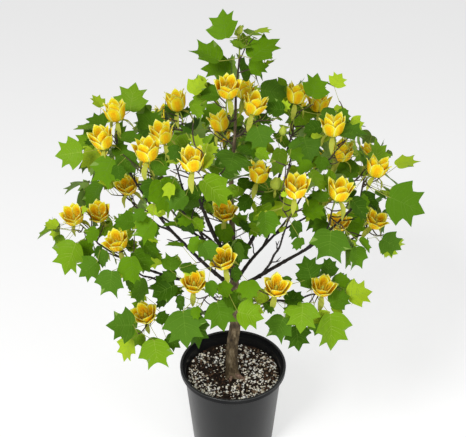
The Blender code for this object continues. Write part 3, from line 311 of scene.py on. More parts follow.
# ---------------------------------------------------------------- leaves read off the photograph
# Each: where its stalk joins the blade and where its tip is, in pixels of the photograph (across and
# down), the blade's width in pixels, its kind (star, notched or broad) and its tone. The tone is partly
# the leaf's own green and partly painted light: deep marks a leaf in shade, light and young a lit one.
SEEN_LEAVES = (
    # the leader and the top
    (226, 38, 222, 10, 29, "star", "light"), (238, 35, 243, 24, 6, "broad", "young"),
    (242, 49, 230, 39, 8, "broad", "light"), (242, 48, 251, 46, 5, "broad", "light"),
    (251, 58, 277, 37, 26, "star", "middle"), (219, 61, 193, 46, 22, "notched", "middle"),
    (230, 71, 202, 69, 24, "star", "light"), (193, 94, 203, 77, 18, "notched", "young"),
    (219, 96, 200, 92, 17, "broad", "deep"), (250, 70, 268, 65, 18, "star", "light"),
    (243, 80, 240, 52, 11, "broad", "middle"), (231, 75, 231, 54, 10, "broad", "light"),
    (261, 90, 288, 94, 24, "broad", "middle"), (222, 111, 200, 119, 21, "broad", "middle"),
    (243, 121, 216, 119, 15, "broad", "light"), (222, 130, 246, 128, 12, "broad", "deep"),
    (192, 105, 203, 117, 12, "broad", "light"), (176, 118, 165, 105, 9, "broad", "middle"),
    (181, 117, 191, 107, 9, "broad", "middle"), (246, 83, 251, 90, 8, "broad", "light"),
    # the upper right
    (312, 97, 319, 74, 26, "star", "light"), (334, 86, 342, 73, 18, "star", "young"),
    (336, 111, 347, 107, 10, "broad", "young"), (338, 112, 350, 121, 12, "broad", "deep"),
    (340, 134, 367, 131, 18, "star", "middle"), (334, 147, 351, 155, 13, "broad", "deep"),
    (301, 107, 298, 130, 31, "star", "light"), (321, 127, 303, 130, 17, "broad", "deep"),
    (304, 137, 310, 161, 32, "broad", "middle"), (289, 149, 303, 161, 14, "broad", "middle"),
    (291, 149, 303, 140, 9, "broad", "middle"), (284, 110, 264, 108, 17, "broad", "deep"),
    (258, 118, 272, 122, 11, "broad", "middle"), (257, 127, 264, 150, 28, "star", "middle"),
    (256, 152, 270, 158, 13, "broad", "light"), (280, 149, 278, 177, 17, "broad", "light"),
    (237, 150, 253, 156, 10, "broad", "deep"), (251, 140, 238, 141, 5, "broad", "middle"),
    (286, 147, 274, 131, 11, "broad", "middle"), (252, 165, 238, 165, 5, "broad", "middle"),
    (312, 164, 297, 173, 13, "broad", "middle"), (321, 117, 314, 108, 9, "broad", "deep"),
    (322, 157, 320, 171, 15, "broad", "middle"), (314, 139, 322, 134, 8, "broad", "young"),
    # the right
    (377, 165, 377, 140, 20, "star", "light"), (397, 166, 417, 157, 14, "notched", "young"),
    (389, 197, 424, 212, 42, "star", "middle"), (363, 165, 361, 152, 5, "broad", "deep"),
    (358, 173, 333, 164, 18, "star", "middle"), (361, 195, 379, 209, 13, "broad", "deep"),
    (375, 193, 388, 198, 6, "broad", "middle"), (350, 212, 357, 239, 28, "star", "middle"),
    (352, 200, 369, 217, 17, "broad", "deep"), (382, 239, 399, 249, 24, "star", "middle"),
    (359, 240, 371, 252, 8, "broad", "middle"), (356, 247, 358, 269, 18, "notched", "deep"),
    (331, 231, 327, 260, 38, "notched", "middle"), (345, 247, 347, 269, 7, "broad", "middle"),
    (336, 282, 350, 279, 15, "broad", "middle"), (330, 303, 350, 296, 22, "broad", "deep"),
    (348, 296, 371, 291, 26, "star", "young"), (330, 314, 334, 349, 33, "star", "light"),
    (332, 307, 343, 312, 10, "broad", "young"), (355, 190, 343, 199, 12, "broad", "deep"),
    # the middle
    (190, 143, 164, 148, 24, "broad", "light"), (200, 147, 192, 134, 13, "star", "young"),
    (203, 152, 218, 146, 14, "star", "young"), (203, 168, 213, 153, 12, "broad", "young"),
    (234, 153, 229, 170, 33, "broad", "middle"), (153, 171, 167, 161, 20, "broad", "deep"),
    (180, 148, 170, 160, 18, "broad", "deep"), (208, 143, 210, 133, 10, "broad", "light"),
    (186, 133, 183, 124, 10, "broad", "deep"), (172, 184, 165, 198, 13, "notched", "young"),
    (160, 180, 170, 213, 34, "broad", "middle"), (153, 180, 147, 202, 20, "broad", "deep"),
    (186, 195, 168, 208, 22, "broad", "middle"), (200, 196, 184, 190, 16, "broad", "deep"),
    (203, 180, 229, 203, 28, "broad", "light"), (217, 180, 203, 176, 11, "broad", "deep"),
    (153, 221, 138, 240, 24, "notched", "middle"), (141, 241, 159, 257, 15, "broad", "middle"),
    (191, 220, 177, 223, 12, "broad", "middle"), (193, 220, 204, 231, 11, "broad", "light"),
    (177, 226, 162, 225, 5, "broad", "middle"), (189, 243, 203, 247, 17, "broad", "middle"),
    (203, 243, 212, 260, 21, "broad", "middle"), (224, 224, 225, 245, 20, "broad", "middle"),
    (183, 247, 165, 244, 5, "broad", "middle"), (170, 270, 172, 254, 20, "notched", "deep"),
    (150, 253, 163, 257, 9, "broad", "light"), (238, 182, 255, 187, 12, "broad", "deep"),
    (252, 181, 272, 198, 21, "broad", "middle"), (245, 188, 233, 197, 11, "broad", "light"),
    (250, 197, 238, 210, 16, "broad", "deep"), (280, 195, 259, 203, 13, "broad", "middle"),
    (280, 190, 275, 177, 11, "broad", "young"), (297, 213, 270, 208, 20, "broad", "young"),
    (303, 209, 325, 215, 20, "broad", "light"), (265, 212, 267, 238, 23, "broad", "deep"),
    (296, 221, 294, 240, 13, "broad", "deep"), (300, 238, 296, 250, 12, "broad", "middle"),
    (307, 203, 321, 197, 10, "broad", "deep"), (310, 172, 327, 190, 13, "broad", "light"),
    (327, 222, 312, 232, 13, "broad", "deep"), (240, 222, 251, 232, 8, "broad", "deep"),
    (236, 243, 243, 262, 10, "broad", "middle"), (150, 224, 157, 238, 9, "broad", "middle"),
    # the upper left
    (130, 111, 134, 83, 31, "star", "light"), (101, 107, 93, 95, 12, "star", "young"),
    (106, 124, 87, 117, 16, "star", "middle"), (96, 130, 73, 128, 6, "broad", "light"),
    (82, 152, 56, 156, 30, "star", "light"), (98, 152, 80, 165, 22, "star", "young"),
    (112, 159, 99, 185, 30, "notched", "middle"), (101, 184, 85, 207, 16, "broad", "middle"),
    (95, 142, 86, 143, 7, "broad", "deep"), (121, 138, 143, 138, 12, "broad", "deep"),
    (114, 148, 128, 158, 16, "broad", "deep"), (120, 155, 136, 172, 24, "broad", "middle"),
    (118, 165, 119, 181, 14, "broad", "deep"), (149, 131, 154, 108, 29, "notched", "middle"),
    (138, 137, 158, 134, 10, "broad", "deep"),
    # the left
    (57, 227, 45, 222, 12, "broad", "young"), (56, 228, 36, 237, 6, "broad", "light"),
    (76, 243, 64, 273, 30, "star", "light"), (78, 243, 91, 259, 19, "broad", "middle"),
    (97, 262, 79, 275, 24, "star", "middle"), (106, 251, 102, 268, 12, "broad", "middle"),
    (100, 246, 97, 258, 8, "broad", "deep"), (97, 229, 87, 243, 14, "broad", "middle"),
    (113, 226, 95, 236, 14, "broad", "light"), (135, 222, 114, 220, 20, "broad", "deep"),
    (127, 249, 137, 242, 14, "broad", "light"), (145, 212, 133, 220, 14, "broad", "middle"),
    # the lower left
    (112, 271, 108, 296, 27, "notched", "middle"), (131, 257, 134, 284, 24, "broad", "middle"),
    (134, 252, 151, 271, 22, "broad", "deep"), (141, 278, 137, 303, 20, "broad", "middle"),
    (125, 275, 133, 292, 8, "broad", "deep"), (175, 285, 152, 297, 27, "broad", "deep"),
    (168, 297, 155, 306, 11, "broad", "deep"), (169, 292, 184, 290, 11, "broad", "middle"),
    (133, 325, 110, 325, 32, "star", "middle"), (131, 339, 122, 360, 19, "star", "young"),
    (154, 340, 158, 368, 32, "notched", "light"), (166, 338, 180, 347, 18, "star", "deep"),
    (183, 311, 188, 344, 40, "star", "middle"), (193, 318, 200, 347, 22, "star", "deep"),
    (157, 318, 170, 320, 14, "broad", "deep"), (182, 296, 178, 311, 10, "broad", "deep"),
    (196, 307, 197, 319, 11, "broad", "middle"), (176, 276, 160, 276, 14, "broad", "middle"),
    # the lower middle and right
    (217, 302, 224, 330, 32, "star", "middle"), (224, 295, 240, 308, 16, "broad", "deep"),
    (208, 282, 214, 297, 14, "broad", "deep"), (221, 283, 228, 298, 16, "broad", "middle"),
    (248, 281, 250, 298, 23, "broad", "middle"), (238, 312, 263, 317, 29, "star", "light"),
    (233, 268, 236, 283, 11, "broad", "deep"), (284, 317, 274, 340, 27, "notched", "middle"),
    (303, 303, 300, 330, 33, "star", "light"), (285, 300, 305, 297, 15, "broad", "deep"),
    (296, 326, 300, 350, 25, "star", "deep"), (311, 278, 304, 257, 25, "star", "deep"),
    (312, 286, 296, 274, 15, "broad", "middle"), (327, 275, 331, 258, 18, "broad", "deep"),
    (266, 303, 272, 313, 10, "broad", "deep"), (284, 277, 290, 284, 9, "broad", "deep"),
    (181, 268, 199, 268, 11, "broad", "middle"), (214, 181, 203, 174, 10, "broad", "deep"),
    (212, 166, 218, 178, 9, "broad", "light"), (328, 199, 309, 195, 12, "broad", "deep"),
    (326, 186, 312, 181, 11, "broad", "light"), (349, 178, 349, 196, 8, "broad", "middle"),
    (364, 205, 366, 193, 9, "broad", "light"),
)

# ---------------------------------------------------------------- finer sizes of the looks
CROWN_LOW = 0.45
CROWN_HIGH = 1.10

TRUNK_RINGS = 300
TRUNK_SIDES = 56
BOUGH_STEP = 0.0035  # between two rings of a bough
BOUGH_SIDES = 14
BOUGH_KNOTS = 6
BOUGH_WANDER = 0.0018
BOUGH_HANDLE = 0.36
BOUGH_TAPER = 1.2
FURROW_DEPTH = 0.0015
FURROWS_ROUND = 4.5
ROOT_RINGS = 22
# Roots that show on the mix: across, depth, height over the mix and radius along each.
SURFACE_ROOTS = (
    ((0.002, -0.006, 0.016, 0.0070), (0.012, -0.010, 0.008, 0.0058), (0.023, -0.015, 0.003, 0.0044),
     (0.034, -0.018, -0.005, 0.0028)),
    ((-0.004, -0.006, 0.012, 0.0062), (-0.006, -0.015, 0.004, 0.0046), (-0.007, -0.024, -0.005, 0.0030)),
)
STUB_LENGTH = 0.034
STUB_RADIUS = 0.0014
STUB_SPACING = 0.095
STUB_FORKS = 0.3  # share of the stubs that fork

STEM_COLLAR = 0.006
STEM_RADII = (0.0022, 0.0014)  # at the root and at the tip
TWIG_RADII = (0.0015, 0.0010)
TWIG_SIDES = 7
TWIG_STEP = 0.006
TWIG_BEND = 0.012
TWIG_HANDLE = 0.3
TWIG_TRIES = 16
JOINT_SPACING = 0.005
SIDE_TWIGS = 4
SIDE_TWIG_LENGTH = 0.060
SIDE_TWIG_SPREAD = math.radians(62.0)
GREEN_SHOOT = 0.45  # share of a flowering shoot, at its end, that is green

PROUD = 0.006  # how far a leaf's plain stand-in may reach out of the solids' box
LEAF_SPACING = 0.0095
LEAVES_PER_TWIG = 11
LEAVES_PER_SPRAY = 22
LEAF_TRIES = 44
LEAF_LENGTH = 0.055
LEAF_PITCH_LOW = -55.0
LEAF_PITCH_RISE = 78.0
LEAF_PITCH_SPREAD = 20.0
LEAF_ROLL_SPREAD = 24.0
LEAF_TURN_SPREAD = 30.0
LEAF_BARE_TIP = 0.006
LEAF_BARE_ROOT = 0.010
LEAF_THICKNESS = 0.0005
SEEN_WIDTH_SHARE = 1.16  # of a flat blade's length
CARRIER_SPACING = 0.008  # between the points of a twig that a seen leaf can hang from
CARRIERS_APART = 0.02  # between the points that are tried for one leaf
SEEN_SHIFTS = (0.0, 0.010, -0.010, 0.022, -0.022, 0.036, -0.034, 0.052, 0.070, 0.090, -0.050)
SEEN_DEPTH_COST = 0.22  # how much a far twig counts against carrying a leaf that is seen
SEEN_PETIOLE = 0.034
SEEN_TRIES = (6, 24)  # twigs tried for each leaf, in the first round and the second
SEEN_SIZE_GAIN = 0.002  # metres of nearness that each pixel of a leaf's width is worth
COVER_RADIUS = 0.58  # of a leaf's length: the part of the picture that it covers
COVER_MARGIN = 2.0  # pixels
LEAF_FOLD = 0.25
LEAF_DROOP = 0.16
PETIOLE_LENGTH = 0.036
PETIOLE_RADIUS = 0.00062
PETIOLE_SAG = 0.10
PETIOLE_SUNK = 0.16

# The right half of a blade, as shares of its length: across, along. Three kinds of leaf.
LEAF_STAR = (
    (0.00, 0.00), (0.14, -0.04), (0.29, -0.01), (0.40, 0.07), (0.49, 0.17), (0.57, 0.28), (0.67, 0.43),
    (0.52, 0.47), (0.40, 0.54), (0.43, 0.66), (0.52, 0.84), (0.37, 0.77), (0.24, 0.72), (0.15, 0.87),
    (0.00, 1.07),
)
LEAF_BROAD = (
    (0.00, 0.00), (0.15, -0.05), (0.31, -0.01), (0.43, 0.09), (0.50, 0.21), (0.55, 0.34), (0.64, 0.52),
    (0.50, 0.56), (0.40, 0.63), (0.39, 0.73), (0.42, 0.90), (0.29, 0.85), (0.19, 0.84), (0.10, 0.92),
    (0.00, 1.01),
)
LEAF_NOTCHED = (
    (0.00, 0.00), (0.16, -0.04), (0.31, 0.00), (0.42, 0.09), (0.49, 0.21), (0.54, 0.35), (0.65, 0.57),
    (0.48, 0.60), (0.36, 0.67), (0.34, 0.80), (0.38, 1.05), (0.26, 0.94), (0.15, 0.87), (0.06, 0.83),
    (0.00, 0.82),
)
LEAF_KINDS = (LEAF_STAR, LEAF_STAR, LEAF_BROAD, LEAF_NOTCHED)
KIND_OF = {"star": LEAF_STAR, "notched": LEAF_NOTCHED, "broad": LEAF_BROAD}
# Veins run from the midrib to these points: where they leave it, then across and along at their end.
LEAF_VEINS = (
    (0.05, 0.44, 0.17),
    (0.14, 0.57, 0.38),
    (0.34, 0.38, 0.56),
    (0.42, 0.40, 0.73),
    (0.60, 0.12, 0.78),
)
VEIN_WIDTH = 0.0011
MIDRIB_WIDTH = 0.0017

BLOOM_HEIGHT = 0.046
BLOOM_WIDTH = 0.043
BLOOM_HIDE_STEP = 0.045  # how far a flower at the back may be moved to be hidden from the front
TEST_SIDES = 6
# A flower's and a bud's plain stand-ins: radius and height, as shares of a flower's width and height.
CUP_PROFILE = ((0.13, 0.0), (0.48, 0.42), (0.47, 1.0))
BUD_PROFILE = ((0.13, 0.0), (0.32, 0.32), (0.05, 0.8))
OUTER_PETALS = 5
INNER_PETALS = 4
PETAL_ROWS = 10
PETAL_COLUMNS = 9
PETAL_WIDTH = 0.70  # of the flower's width
LOW_FLOWERS = 0.80  # flowers under this height are low ones
LOW_FLOWER_OPENING = 0.06  # how much wider a low flower opens
LOW_FLOWER_HEIGHT = 0.82  # of a high flower's
HIGH_FLOWER_LEAN = 0.06  # away from the front
LOW_FLOWER_LEAN = -0.18
PETAL_THICKNESS = 0.0009
SEPAL_THICKNESS = 0.0008
STAMENS = 26
SEPALS = 3
SEPAL_LENGTH = 0.040

RIM_GLOSS_DEPTH = 0.0022  # the lip shines this far down from its top
MIX_EDGE_RISE = 0.008  # the mix lies this much higher along the wall
GRAINS = 1800
CHIPS = 1300


# Numbers of the materials on the leaves' pieces, and on the flowers'.
# The deep tone is partly painted shade, and the light and young tones are partly painted light, on top of the
# leaves' own greens.
DEEP_AND_SHADED, MIDDLE, COOL, WARM, LIGHT, YOUNG_AND_LIT, UNDERSIDE, VEIN_DARK, VEIN_PALE = range(9)
VEIN_OF = dict.fromkeys((DEEP_AND_SHADED, MIDDLE, COOL, WARM), VEIN_DARK) | dict.fromkeys((LIGHT, YOUNG_AND_LIT), VEIN_PALE)
# Each tone word of SEEN_LEAVES, with the materials that one is drawn from.
TONES_OF = {
    "deep": (DEEP_AND_SHADED, DEEP_AND_SHADED, MIDDLE),
    "middle": (MIDDLE, COOL, WARM),
    "light": (LIGHT, WARM, LIGHT),
    "young": (YOUNG_AND_LIT,),
}
PETAL_GREEN, PETAL_ORANGE, PETAL_GOLD, PETAL_YELLOW, PETAL_RIM, STAMEN, HEART, SEPAL, BUD = range(9)


# ---------------------------------------------------------------- meshes
class Pile:
    """Points and faces that become one piece. Each face has the number of its material."""

    def __init__(self):
        self.points, self.faces, self.slots = [], [], []

    def add(self, solid, slot=0):
        """slot is one number, or one for each face."""
        points, faces = solid
        start = len(self.points)
        self.points += points
        self.faces += [tuple(i + start for i in face) for face in faces]
        self.slots += [slot] * len(faces) if isinstance(slot, int) else slot

    def make(self, name, materials, smooth_below, slot, nodes=()):
        mesh = bpy.data.meshes.new(name)
        mesh.from_pydata([tuple(p) for p in self.points], [], self.faces)
        for material in materials:
            mesh.materials.append(material)
        mesh.polygons.foreach_set("material_index", self.slots)
        mesh.shade_smooth()
        mesh.set_sharp_from_angle(angle=math.radians(smooth_below))
        obj = bpy.data.objects.new(name, mesh)
        bpy.context.scene.collection.objects.link(obj)
        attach(obj, "root")
        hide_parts(*nodes)
        return obj


def perpendicular(direction):
    side = direction.cross(UP)
    if side.length < 1e-3:
        side = direction.cross(FRONT)
    return side.normalized()


def cross_axes(direction):
    """Two directions across this one, at right angles to each other."""
    side = perpendicular(direction)
    return side, direction.cross(side)


def at_angle(side, other, angle):
    return side * math.cos(angle) + other * math.sin(angle)


CAMERA = Vector(CAMERA_PLACE)
VIEW_AHEAD = Vector((0.0, math.cos(CAMERA_PITCH), -math.sin(CAMERA_PITCH)))
VIEW_UP = Vector((0.0, math.sin(CAMERA_PITCH), math.cos(CAMERA_PITCH)))


def in_picture(point):
    """(across, down, depth): the pixel of the photograph that shows the point, and how far it is."""
    run = point - CAMERA
    depth = run.dot(VIEW_AHEAD)
    scale = FOCAL_PIXELS / depth
    return PICTURE_CENTRE[0] + run.x * scale, PICTURE_CENTRE[1] - run.dot(VIEW_UP) * scale, depth


def sight_line(across, down):
    """The direction from the camera through a pixel, one metre deep."""
    x, y = (across - PICTURE_CENTRE[0]) / FOCAL_PIXELS, (PICTURE_CENTRE[1] - down) / FOCAL_PIXELS
    return Vector((x, 0.0, 0.0)) + VIEW_UP * y + VIEW_AHEAD


def outward_from_trunk(point):
    level = Vector((point.x, point.y, 0.0))
    return level.normalized() if level.length > 1e-3 else FRONT.copy()


def catmull_rom(knots, share):
    place = min(max(share, 0.0), 1.0) * (len(knots) - 1)
    i = min(int(place), len(knots) - 2)
    t = place - i
    a, b, c, d = (knots[min(max(j, 0), len(knots) - 1)] for j in (i - 1, i, i + 1, i + 2))
    return tuple(
        0.5 * (2 * q + (r - p) * t + (2 * p - 5 * q + 4 * r - s) * t * t + (3 * q - p - 3 * r + s) * t**3)
        for p, q, r, s in zip(a, b, c, d)
    )


def bezier(a, b, c, d, t):
    u = 1.0 - t
    return a * u**3 + b * (3 * u * u * t) + c * (3 * u * t * t) + d * t**3


def tube(path, radii, sides, radius_at=None):
    """A closed tube along the path. radius_at(ring, angle, level) adds to a ring's radius at an angle."""
    points, faces = [], []
    side = perpendicular((path[1] - path[0]).normalized())
    for ring, centre in enumerate(path):
        ahead = path[min(ring + 1, len(path) - 1)]
        behind = path[max(ring - 1, 0)]
        tangent = (ahead - behind).normalized()
        side = (side - tangent * side.dot(tangent)).normalized()
        other = tangent.cross(side)
        for k in range(sides):
            angle = 2 * math.pi * k / sides
            level = at_angle(side, other, angle)
            radius = radii[ring]
            if radius_at:
                radius += radius_at(ring, angle, level)
            points.append(centre + level * radius)
    for ring in range(len(path) - 1):
        for k in range(sides):
            low, high = ring * sides + k, ring * sides + (k + 1) % sides
            faces.append((low, high, high + sides, low + sides))
    last = (len(path) - 1) * sides
    faces.append(tuple(range(sides - 1, -1, -1)))
    faces.append(tuple(range(last, last + sides)))
    return points, faces


def path_length(path):
    return sum((b - a).length for a, b in zip(path, path[1:]))


def path_point(path, share):
    """(point, direction) at a share of the path's length."""
    lengths = [0.0]
    for a, b in zip(path, path[1:]):
        lengths.append(lengths[-1] + (b - a).length)
    wanted = share * lengths[-1]
    i = 0
    while i < len(path) - 2 and lengths[i + 1] < wanted:
        i += 1
    t = (wanted - lengths[i]) / (lengths[i + 1] - lengths[i])
    return path[i].lerp(path[i + 1], t), (path[i + 1] - path[i]).normalized()


# ---------------------------------------------------------------- trunk and boughs
Limb = namedtuple("Limb", "path radii")


def trunk_limb():
    path, radii = [], []
    for ring in range(TRUNK_RINGS):
        x, y, z, radius = catmull_rom(TRUNK_KNOTS, ring / (TRUNK_RINGS - 1))
        path.append(Vector((x, y, z)))
        radii.append(radius)
    return Limb(path, radii)


def bough_limb(bough, parent):
    start, along = path_point(parent.path, bough.share)
    tip = Vector(bough.tip)
    reach = tip - start
    level = Vector((reach.x, reach.y, 0.0)).normalized()
    rise = math.radians(bough.rise)
    leave = (level * math.cos(rise) + UP * math.sin(rise) + along * 0.3).normalized()
    arrive = (reach.normalized() + UP * 0.45).normalized()
    handle = reach.length * BOUGH_HANDLE
    draw = random.Random(bough.name)
    knots = []
    for ring in range(BOUGH_KNOTS):
        t = ring / (BOUGH_KNOTS - 1)
        point = bezier(start, start + leave * handle, tip - arrive * handle, tip, t)
        if 0.1 < t < 0.9:
            point += Vector((draw.gauss(0, 1), draw.gauss(0, 1), draw.gauss(0, 1))) * BOUGH_WANDER
        knots.append(tuple(point))
    rings = int(reach.length / BOUGH_STEP)
    path = [Vector(catmull_rom(knots, ring / (rings - 1))) for ring in range(rings)]
    radii = []
    for ring in range(rings):
        thick = (1 - ring / (rings - 1)) ** BOUGH_TAPER
        radii.append(bough.root_radius * thick + bough.tip_radius * (1 - thick))
    return Limb(path, radii)


def grow_limbs():
    limbs = {"trunk": trunk_limb()}
    for bough in BOUGHS:
        limbs[bough.name] = bough_limb(bough, limbs[bough.parent])
    return limbs


def furrows(point, level, radius, depth):
    """The height of rough bark: long furrows with cross cracks, and small warts between them."""
    around = level * FURROWS_ROUND
    grain = noise.noise(Vector((around.x, around.y, point.z * 22.0)) + level * 3.0)
    fine = noise.noise(Vector((around.x * 2.6, around.y * 2.6, point.z * 70.0)) + level * 7.0)
    wart = noise.noise(point * 260.0 + level * radius * 400.0)
    return depth * (1.0 - 2.2 * abs(grain) + 0.55 * fine + 0.35 * wart)


def make_trunk(limb, forks):
    def relief(ring, angle, level):
        centre, radius = limb.path[ring], limb.radii[ring]
        height = centre.z - TRUNK_FOOT_Z
        fade = math.exp(-max(height, 0.0) / FLARE_HEIGHT)
        turn = math.atan2(level.y, level.x) - SURFACE_ROOT_ANGLE
        root = max(0.0, math.cos(turn)) ** 12 * SURFACE_ROOT_SPREAD
        flare = fade * (FLARE_SPREAD * FLARE_LOBES * (1 + math.cos(3 * turn)) + fade * root)
        depth = FURROW_DEPTH * min(1.0, radius / 0.012)
        collar = 0.0
        for share_z, size, direction in forks:
            near = math.exp(-((centre.z - share_z) / (size * 1.5)) ** 2)
            collar += near * max(0.0, level.dot(direction)) ** 3 * size * 0.30
        return flare + collar + furrows(centre + level * radius, level, radius, depth)

    def root_relief(ring, angle, level):
        return furrows(level * 0.01, level, 0.01, 0.0006)

    pile = Pile()
    pile.add(tube(limb.path, limb.radii, TRUNK_SIDES, relief))
    for knots in SURFACE_ROOTS:
        path, radii = [], []
        for i in range(ROOT_RINGS):
            x, y, above, radius = catmull_rom(knots, i / (ROOT_RINGS - 1))
            path.append(Vector((x, y, MIX_TOP + above)))
            radii.append(radius)
        pile.add(tube(path, radii, 16, root_relief), 1)
    return pile


def make_boughs(limbs):
    pile = Pile()
    for bough in BOUGHS:
        limb = limbs[bough.name]
        draw = random.Random(bough.name + " bark")
        nodes = [draw.uniform(0.1, 0.95) for _ in range(int(path_length(limb.path) / 0.03))]
        rings = len(limb.path)
        radii = []
        for ring, radius in enumerate(limb.radii):
            share = ring / (rings - 1)
            swell = sum(math.exp(-((share - node) * rings * BOUGH_STEP / 0.004) ** 2) for node in nodes)
            collar = math.exp(-share * rings * BOUGH_STEP / 0.009)
            radii.append(radius * (1 + 0.16 * min(swell, 1.5) + 0.45 * collar))

        def relief(ring, angle, level):
            point = limb.path[ring] + level * limb.radii[ring]
            rough = noise.noise(point * 180.0) + 0.6 * noise.noise(point * 520.0)
            return limb.radii[ring] * 0.09 * rough

        pile.add(tube(limb.path, radii, BOUGH_SIDES, relief))
    return pile


def add_stubs(pile, limbs, space):
    """Short bare side twigs, some with a fork, which show in the crown's gaps."""
    for bough in BOUGHS:
        limb = limbs[bough.name]
        draw = random.Random(bough.name + " stubs")
        length = path_length(limb.path)
        count = int(length / STUB_SPACING)
        turn = draw.uniform(0, 2 * math.pi)
        for i in range(count):
            share = (i + 0.9 + draw.uniform(-0.2, 0.2)) / (count + 0.6)
            point, along = path_point(limb.path, min(share, 0.95))
            for trial in range(6):
                around = at_angle(*cross_axes(along), turn + GOLDEN_ANGLE * i + 0.9 * trial)
                run = (around + along * 0.9 + UP * 0.25).normalized()
                reach = STUB_LENGTH * draw.uniform(0.5, 1.5)
                bend = Vector([draw.gauss(0, 0.12) for _ in range(3)])
                mid = point + run * reach * 0.5
                end = mid + (run + bend + UP * 0.15).normalized() * reach * 0.5
                path = [point, point.lerp(mid, 0.5) + bend * 0.01, mid, mid.lerp(end, 0.5), end]
                solid = tube(path[1:], [STUB_RADIUS] * 4, 4)
                if space.free([solid]):
                    break
            else:
                continue
            radii = [STUB_RADIUS * f for f in (1.35, 1.1, 0.95, 0.85, 0.45)]
            pile.add(tube(path, radii, 7))
            space.add([solid])
            if draw.random() < STUB_FORKS:
                fork = (run + around.cross(along) * draw.choice((-0.9, 0.9)) + UP * 0.3).normalized()
                tip = mid + fork * reach * draw.uniform(0.3, 0.6)
                side_path = [mid, mid.lerp(tip, 0.5), tip]
                side_solid = tube([mid.lerp(tip, 0.25), tip], [STUB_RADIUS] * 2, 4)
                if space.free([side_solid]):
                    pile.add(tube(side_path, [STUB_RADIUS * f for f in (0.85, 0.7, 0.45)], 6))
                    space.add([side_solid])


# ---------------------------------------------------------------- leaves
Leaf = namedtuple("Leaf", "root base midrib normal length kind shape tone")
Shape = namedtuple("Shape", "fold droop wave phase skew")


def draw_shape(draw):
    return Shape(
        LEAF_FOLD * draw.uniform(0.3, 1.5),
        LEAF_DROOP * draw.uniform(0.2, 1.9),
        draw.uniform(0.006, 0.022),
        draw.uniform(0, 2 * math.pi),
        draw.gauss(0, 0.05),
    )


def blade_point(leaf, across, along, above=0.0):
    """A point of the blade. across and along are shares of its length; above is in metres."""
    side = leaf.midrib.cross(leaf.normal)
    shape = leaf.shape
    out = abs(across)
    lift = shape.fold * (out - 0.45 * out * out) - shape.droop * along * along
    phase = shape.phase + 9.0 * along + (2.0 if across > 0 else 0.0)
    lift += shape.wave * math.sin(phase) * min(1.0, out * 3)
    across += shape.skew * along
    place = side * across + leaf.midrib * along + leaf.normal * lift
    return leaf.base + place * leaf.length + leaf.normal * above


def test_solid(leaf, sunk=PETIOLE_SUNK):
    """A blade of a few faces with its petiole, to see whether a leaf has room."""
    ring = [blade_point(leaf, x, y) for x, y in ((0.38, 0.08), (0.56, 0.48), (0.40, 0.80))]
    ring += [blade_point(leaf, 0.0, 1.0)]
    ring += [blade_point(leaf, -x, y) for x, y in ((0.40, 0.80), (0.56, 0.48), (0.38, 0.08))]
    side = leaf.midrib.cross(leaf.normal) * PETIOLE_RADIUS
    root = leaf.root.lerp(leaf.base, sunk)
    middle = blade_point(leaf, 0.0, 0.45)
    points = ring + [middle, leaf.base, root + side, root - side]
    n = len(ring)
    faces = [(n, i, i + 1) for i in range(n - 1)]
    faces += [(n, n - 1, n + 1), (n, n + 1, 0), (n + 1, n + 2, n + 3)]
    return points, faces


def blade_solid(leaf):
    """A thin closed blade with raised veins on top. Returns the solid and its faces' materials."""
    outline = leaf.kind
    rows = len(outline)
    tip = outline[-1][1]
    points, faces, slots = [], [], []
    spine = [tip * (i / (rows - 1)) ** 1.15 for i in range(rows)]

    def place(across, along, above):
        points.append(blade_point(leaf, across, along, above))
        return len(points) - 1

    thick = LEAF_THICKNESS / 2
    tops = [place(0.0, along, thick if 0 < i < rows - 1 else 0.0) for i, along in enumerate(spine)]
    lows = [tops[0]] + [place(0.0, along, -thick) for along in spine[1:-1]] + [tops[-1]]
    for sign in (1, -1):
        edge = [tops[0]] + [place(sign * x, y, 0.0) for x, y in outline[1:-1]] + [tops[-1]]
        half_top, half_low = [tops[0]], [tops[0]]
        for i in range(1, rows - 1):
            x, y = outline[i][0] / 2, (outline[i][1] + spine[i]) / 2
            half_top.append(place(sign * x, y, thick))
            half_low.append(place(sign * x, y, -thick))
        half_top.append(tops[-1])
        half_low.append(tops[-1])
        for upper, inner, outer in (
            (True, tops, half_top), (True, half_top, edge), (False, lows, half_low), (False, half_low, edge),
        ):
            for i in range(rows - 1):
                face = [inner[i], outer[i], outer[i + 1], inner[i + 1]]
                face = [v for k, v in enumerate(face) if v not in face[:k]]
                if len(face) < 3:
                    continue
                if (sign > 0) != upper:
                    face.reverse()
                faces.append(tuple(face))
                slots.append(leaf.tone if upper else UNDERSIDE)
    veins = [((0.0, 0.01), (0.0, tip * 0.96), MIDRIB_WIDTH, 6)]
    for leave, across, along in LEAF_VEINS:
        veins += [((0.0, leave), (sign * across, along), VEIN_WIDTH, 4) for sign in (1, -1)]
    for (x0, y0), (x1, y1), width, steps in veins:
        across = Vector((y1 - y0, x0 - x1)).normalized() * width / 2 / leaf.length
        start = len(points)
        for i in range(steps + 1):
            t = i / steps
            bow = 0.06 * math.sin(math.pi * t) * (x1 - x0)
            x, y = x0 + (x1 - x0) * t + bow, y0 + (y1 - y0) * t
            narrow = (1.0 - 0.7 * t) * min(1.0, leaf.length / 0.06)
            place(x - across.x * narrow, y - across.y * narrow, thick - 0.00015)
            place(x, y, thick + 0.00030 * narrow)
            place(x + across.x * narrow, y + across.y * narrow, thick - 0.00015)
        for i in range(steps):
            a = start + 3 * i
            faces += [(a + 1, a, a + 3, a + 4), (a + 2, a + 1, a + 4, a + 5)]
            slots += [VEIN_OF[leaf.tone]] * 2
    return (points, faces), slots


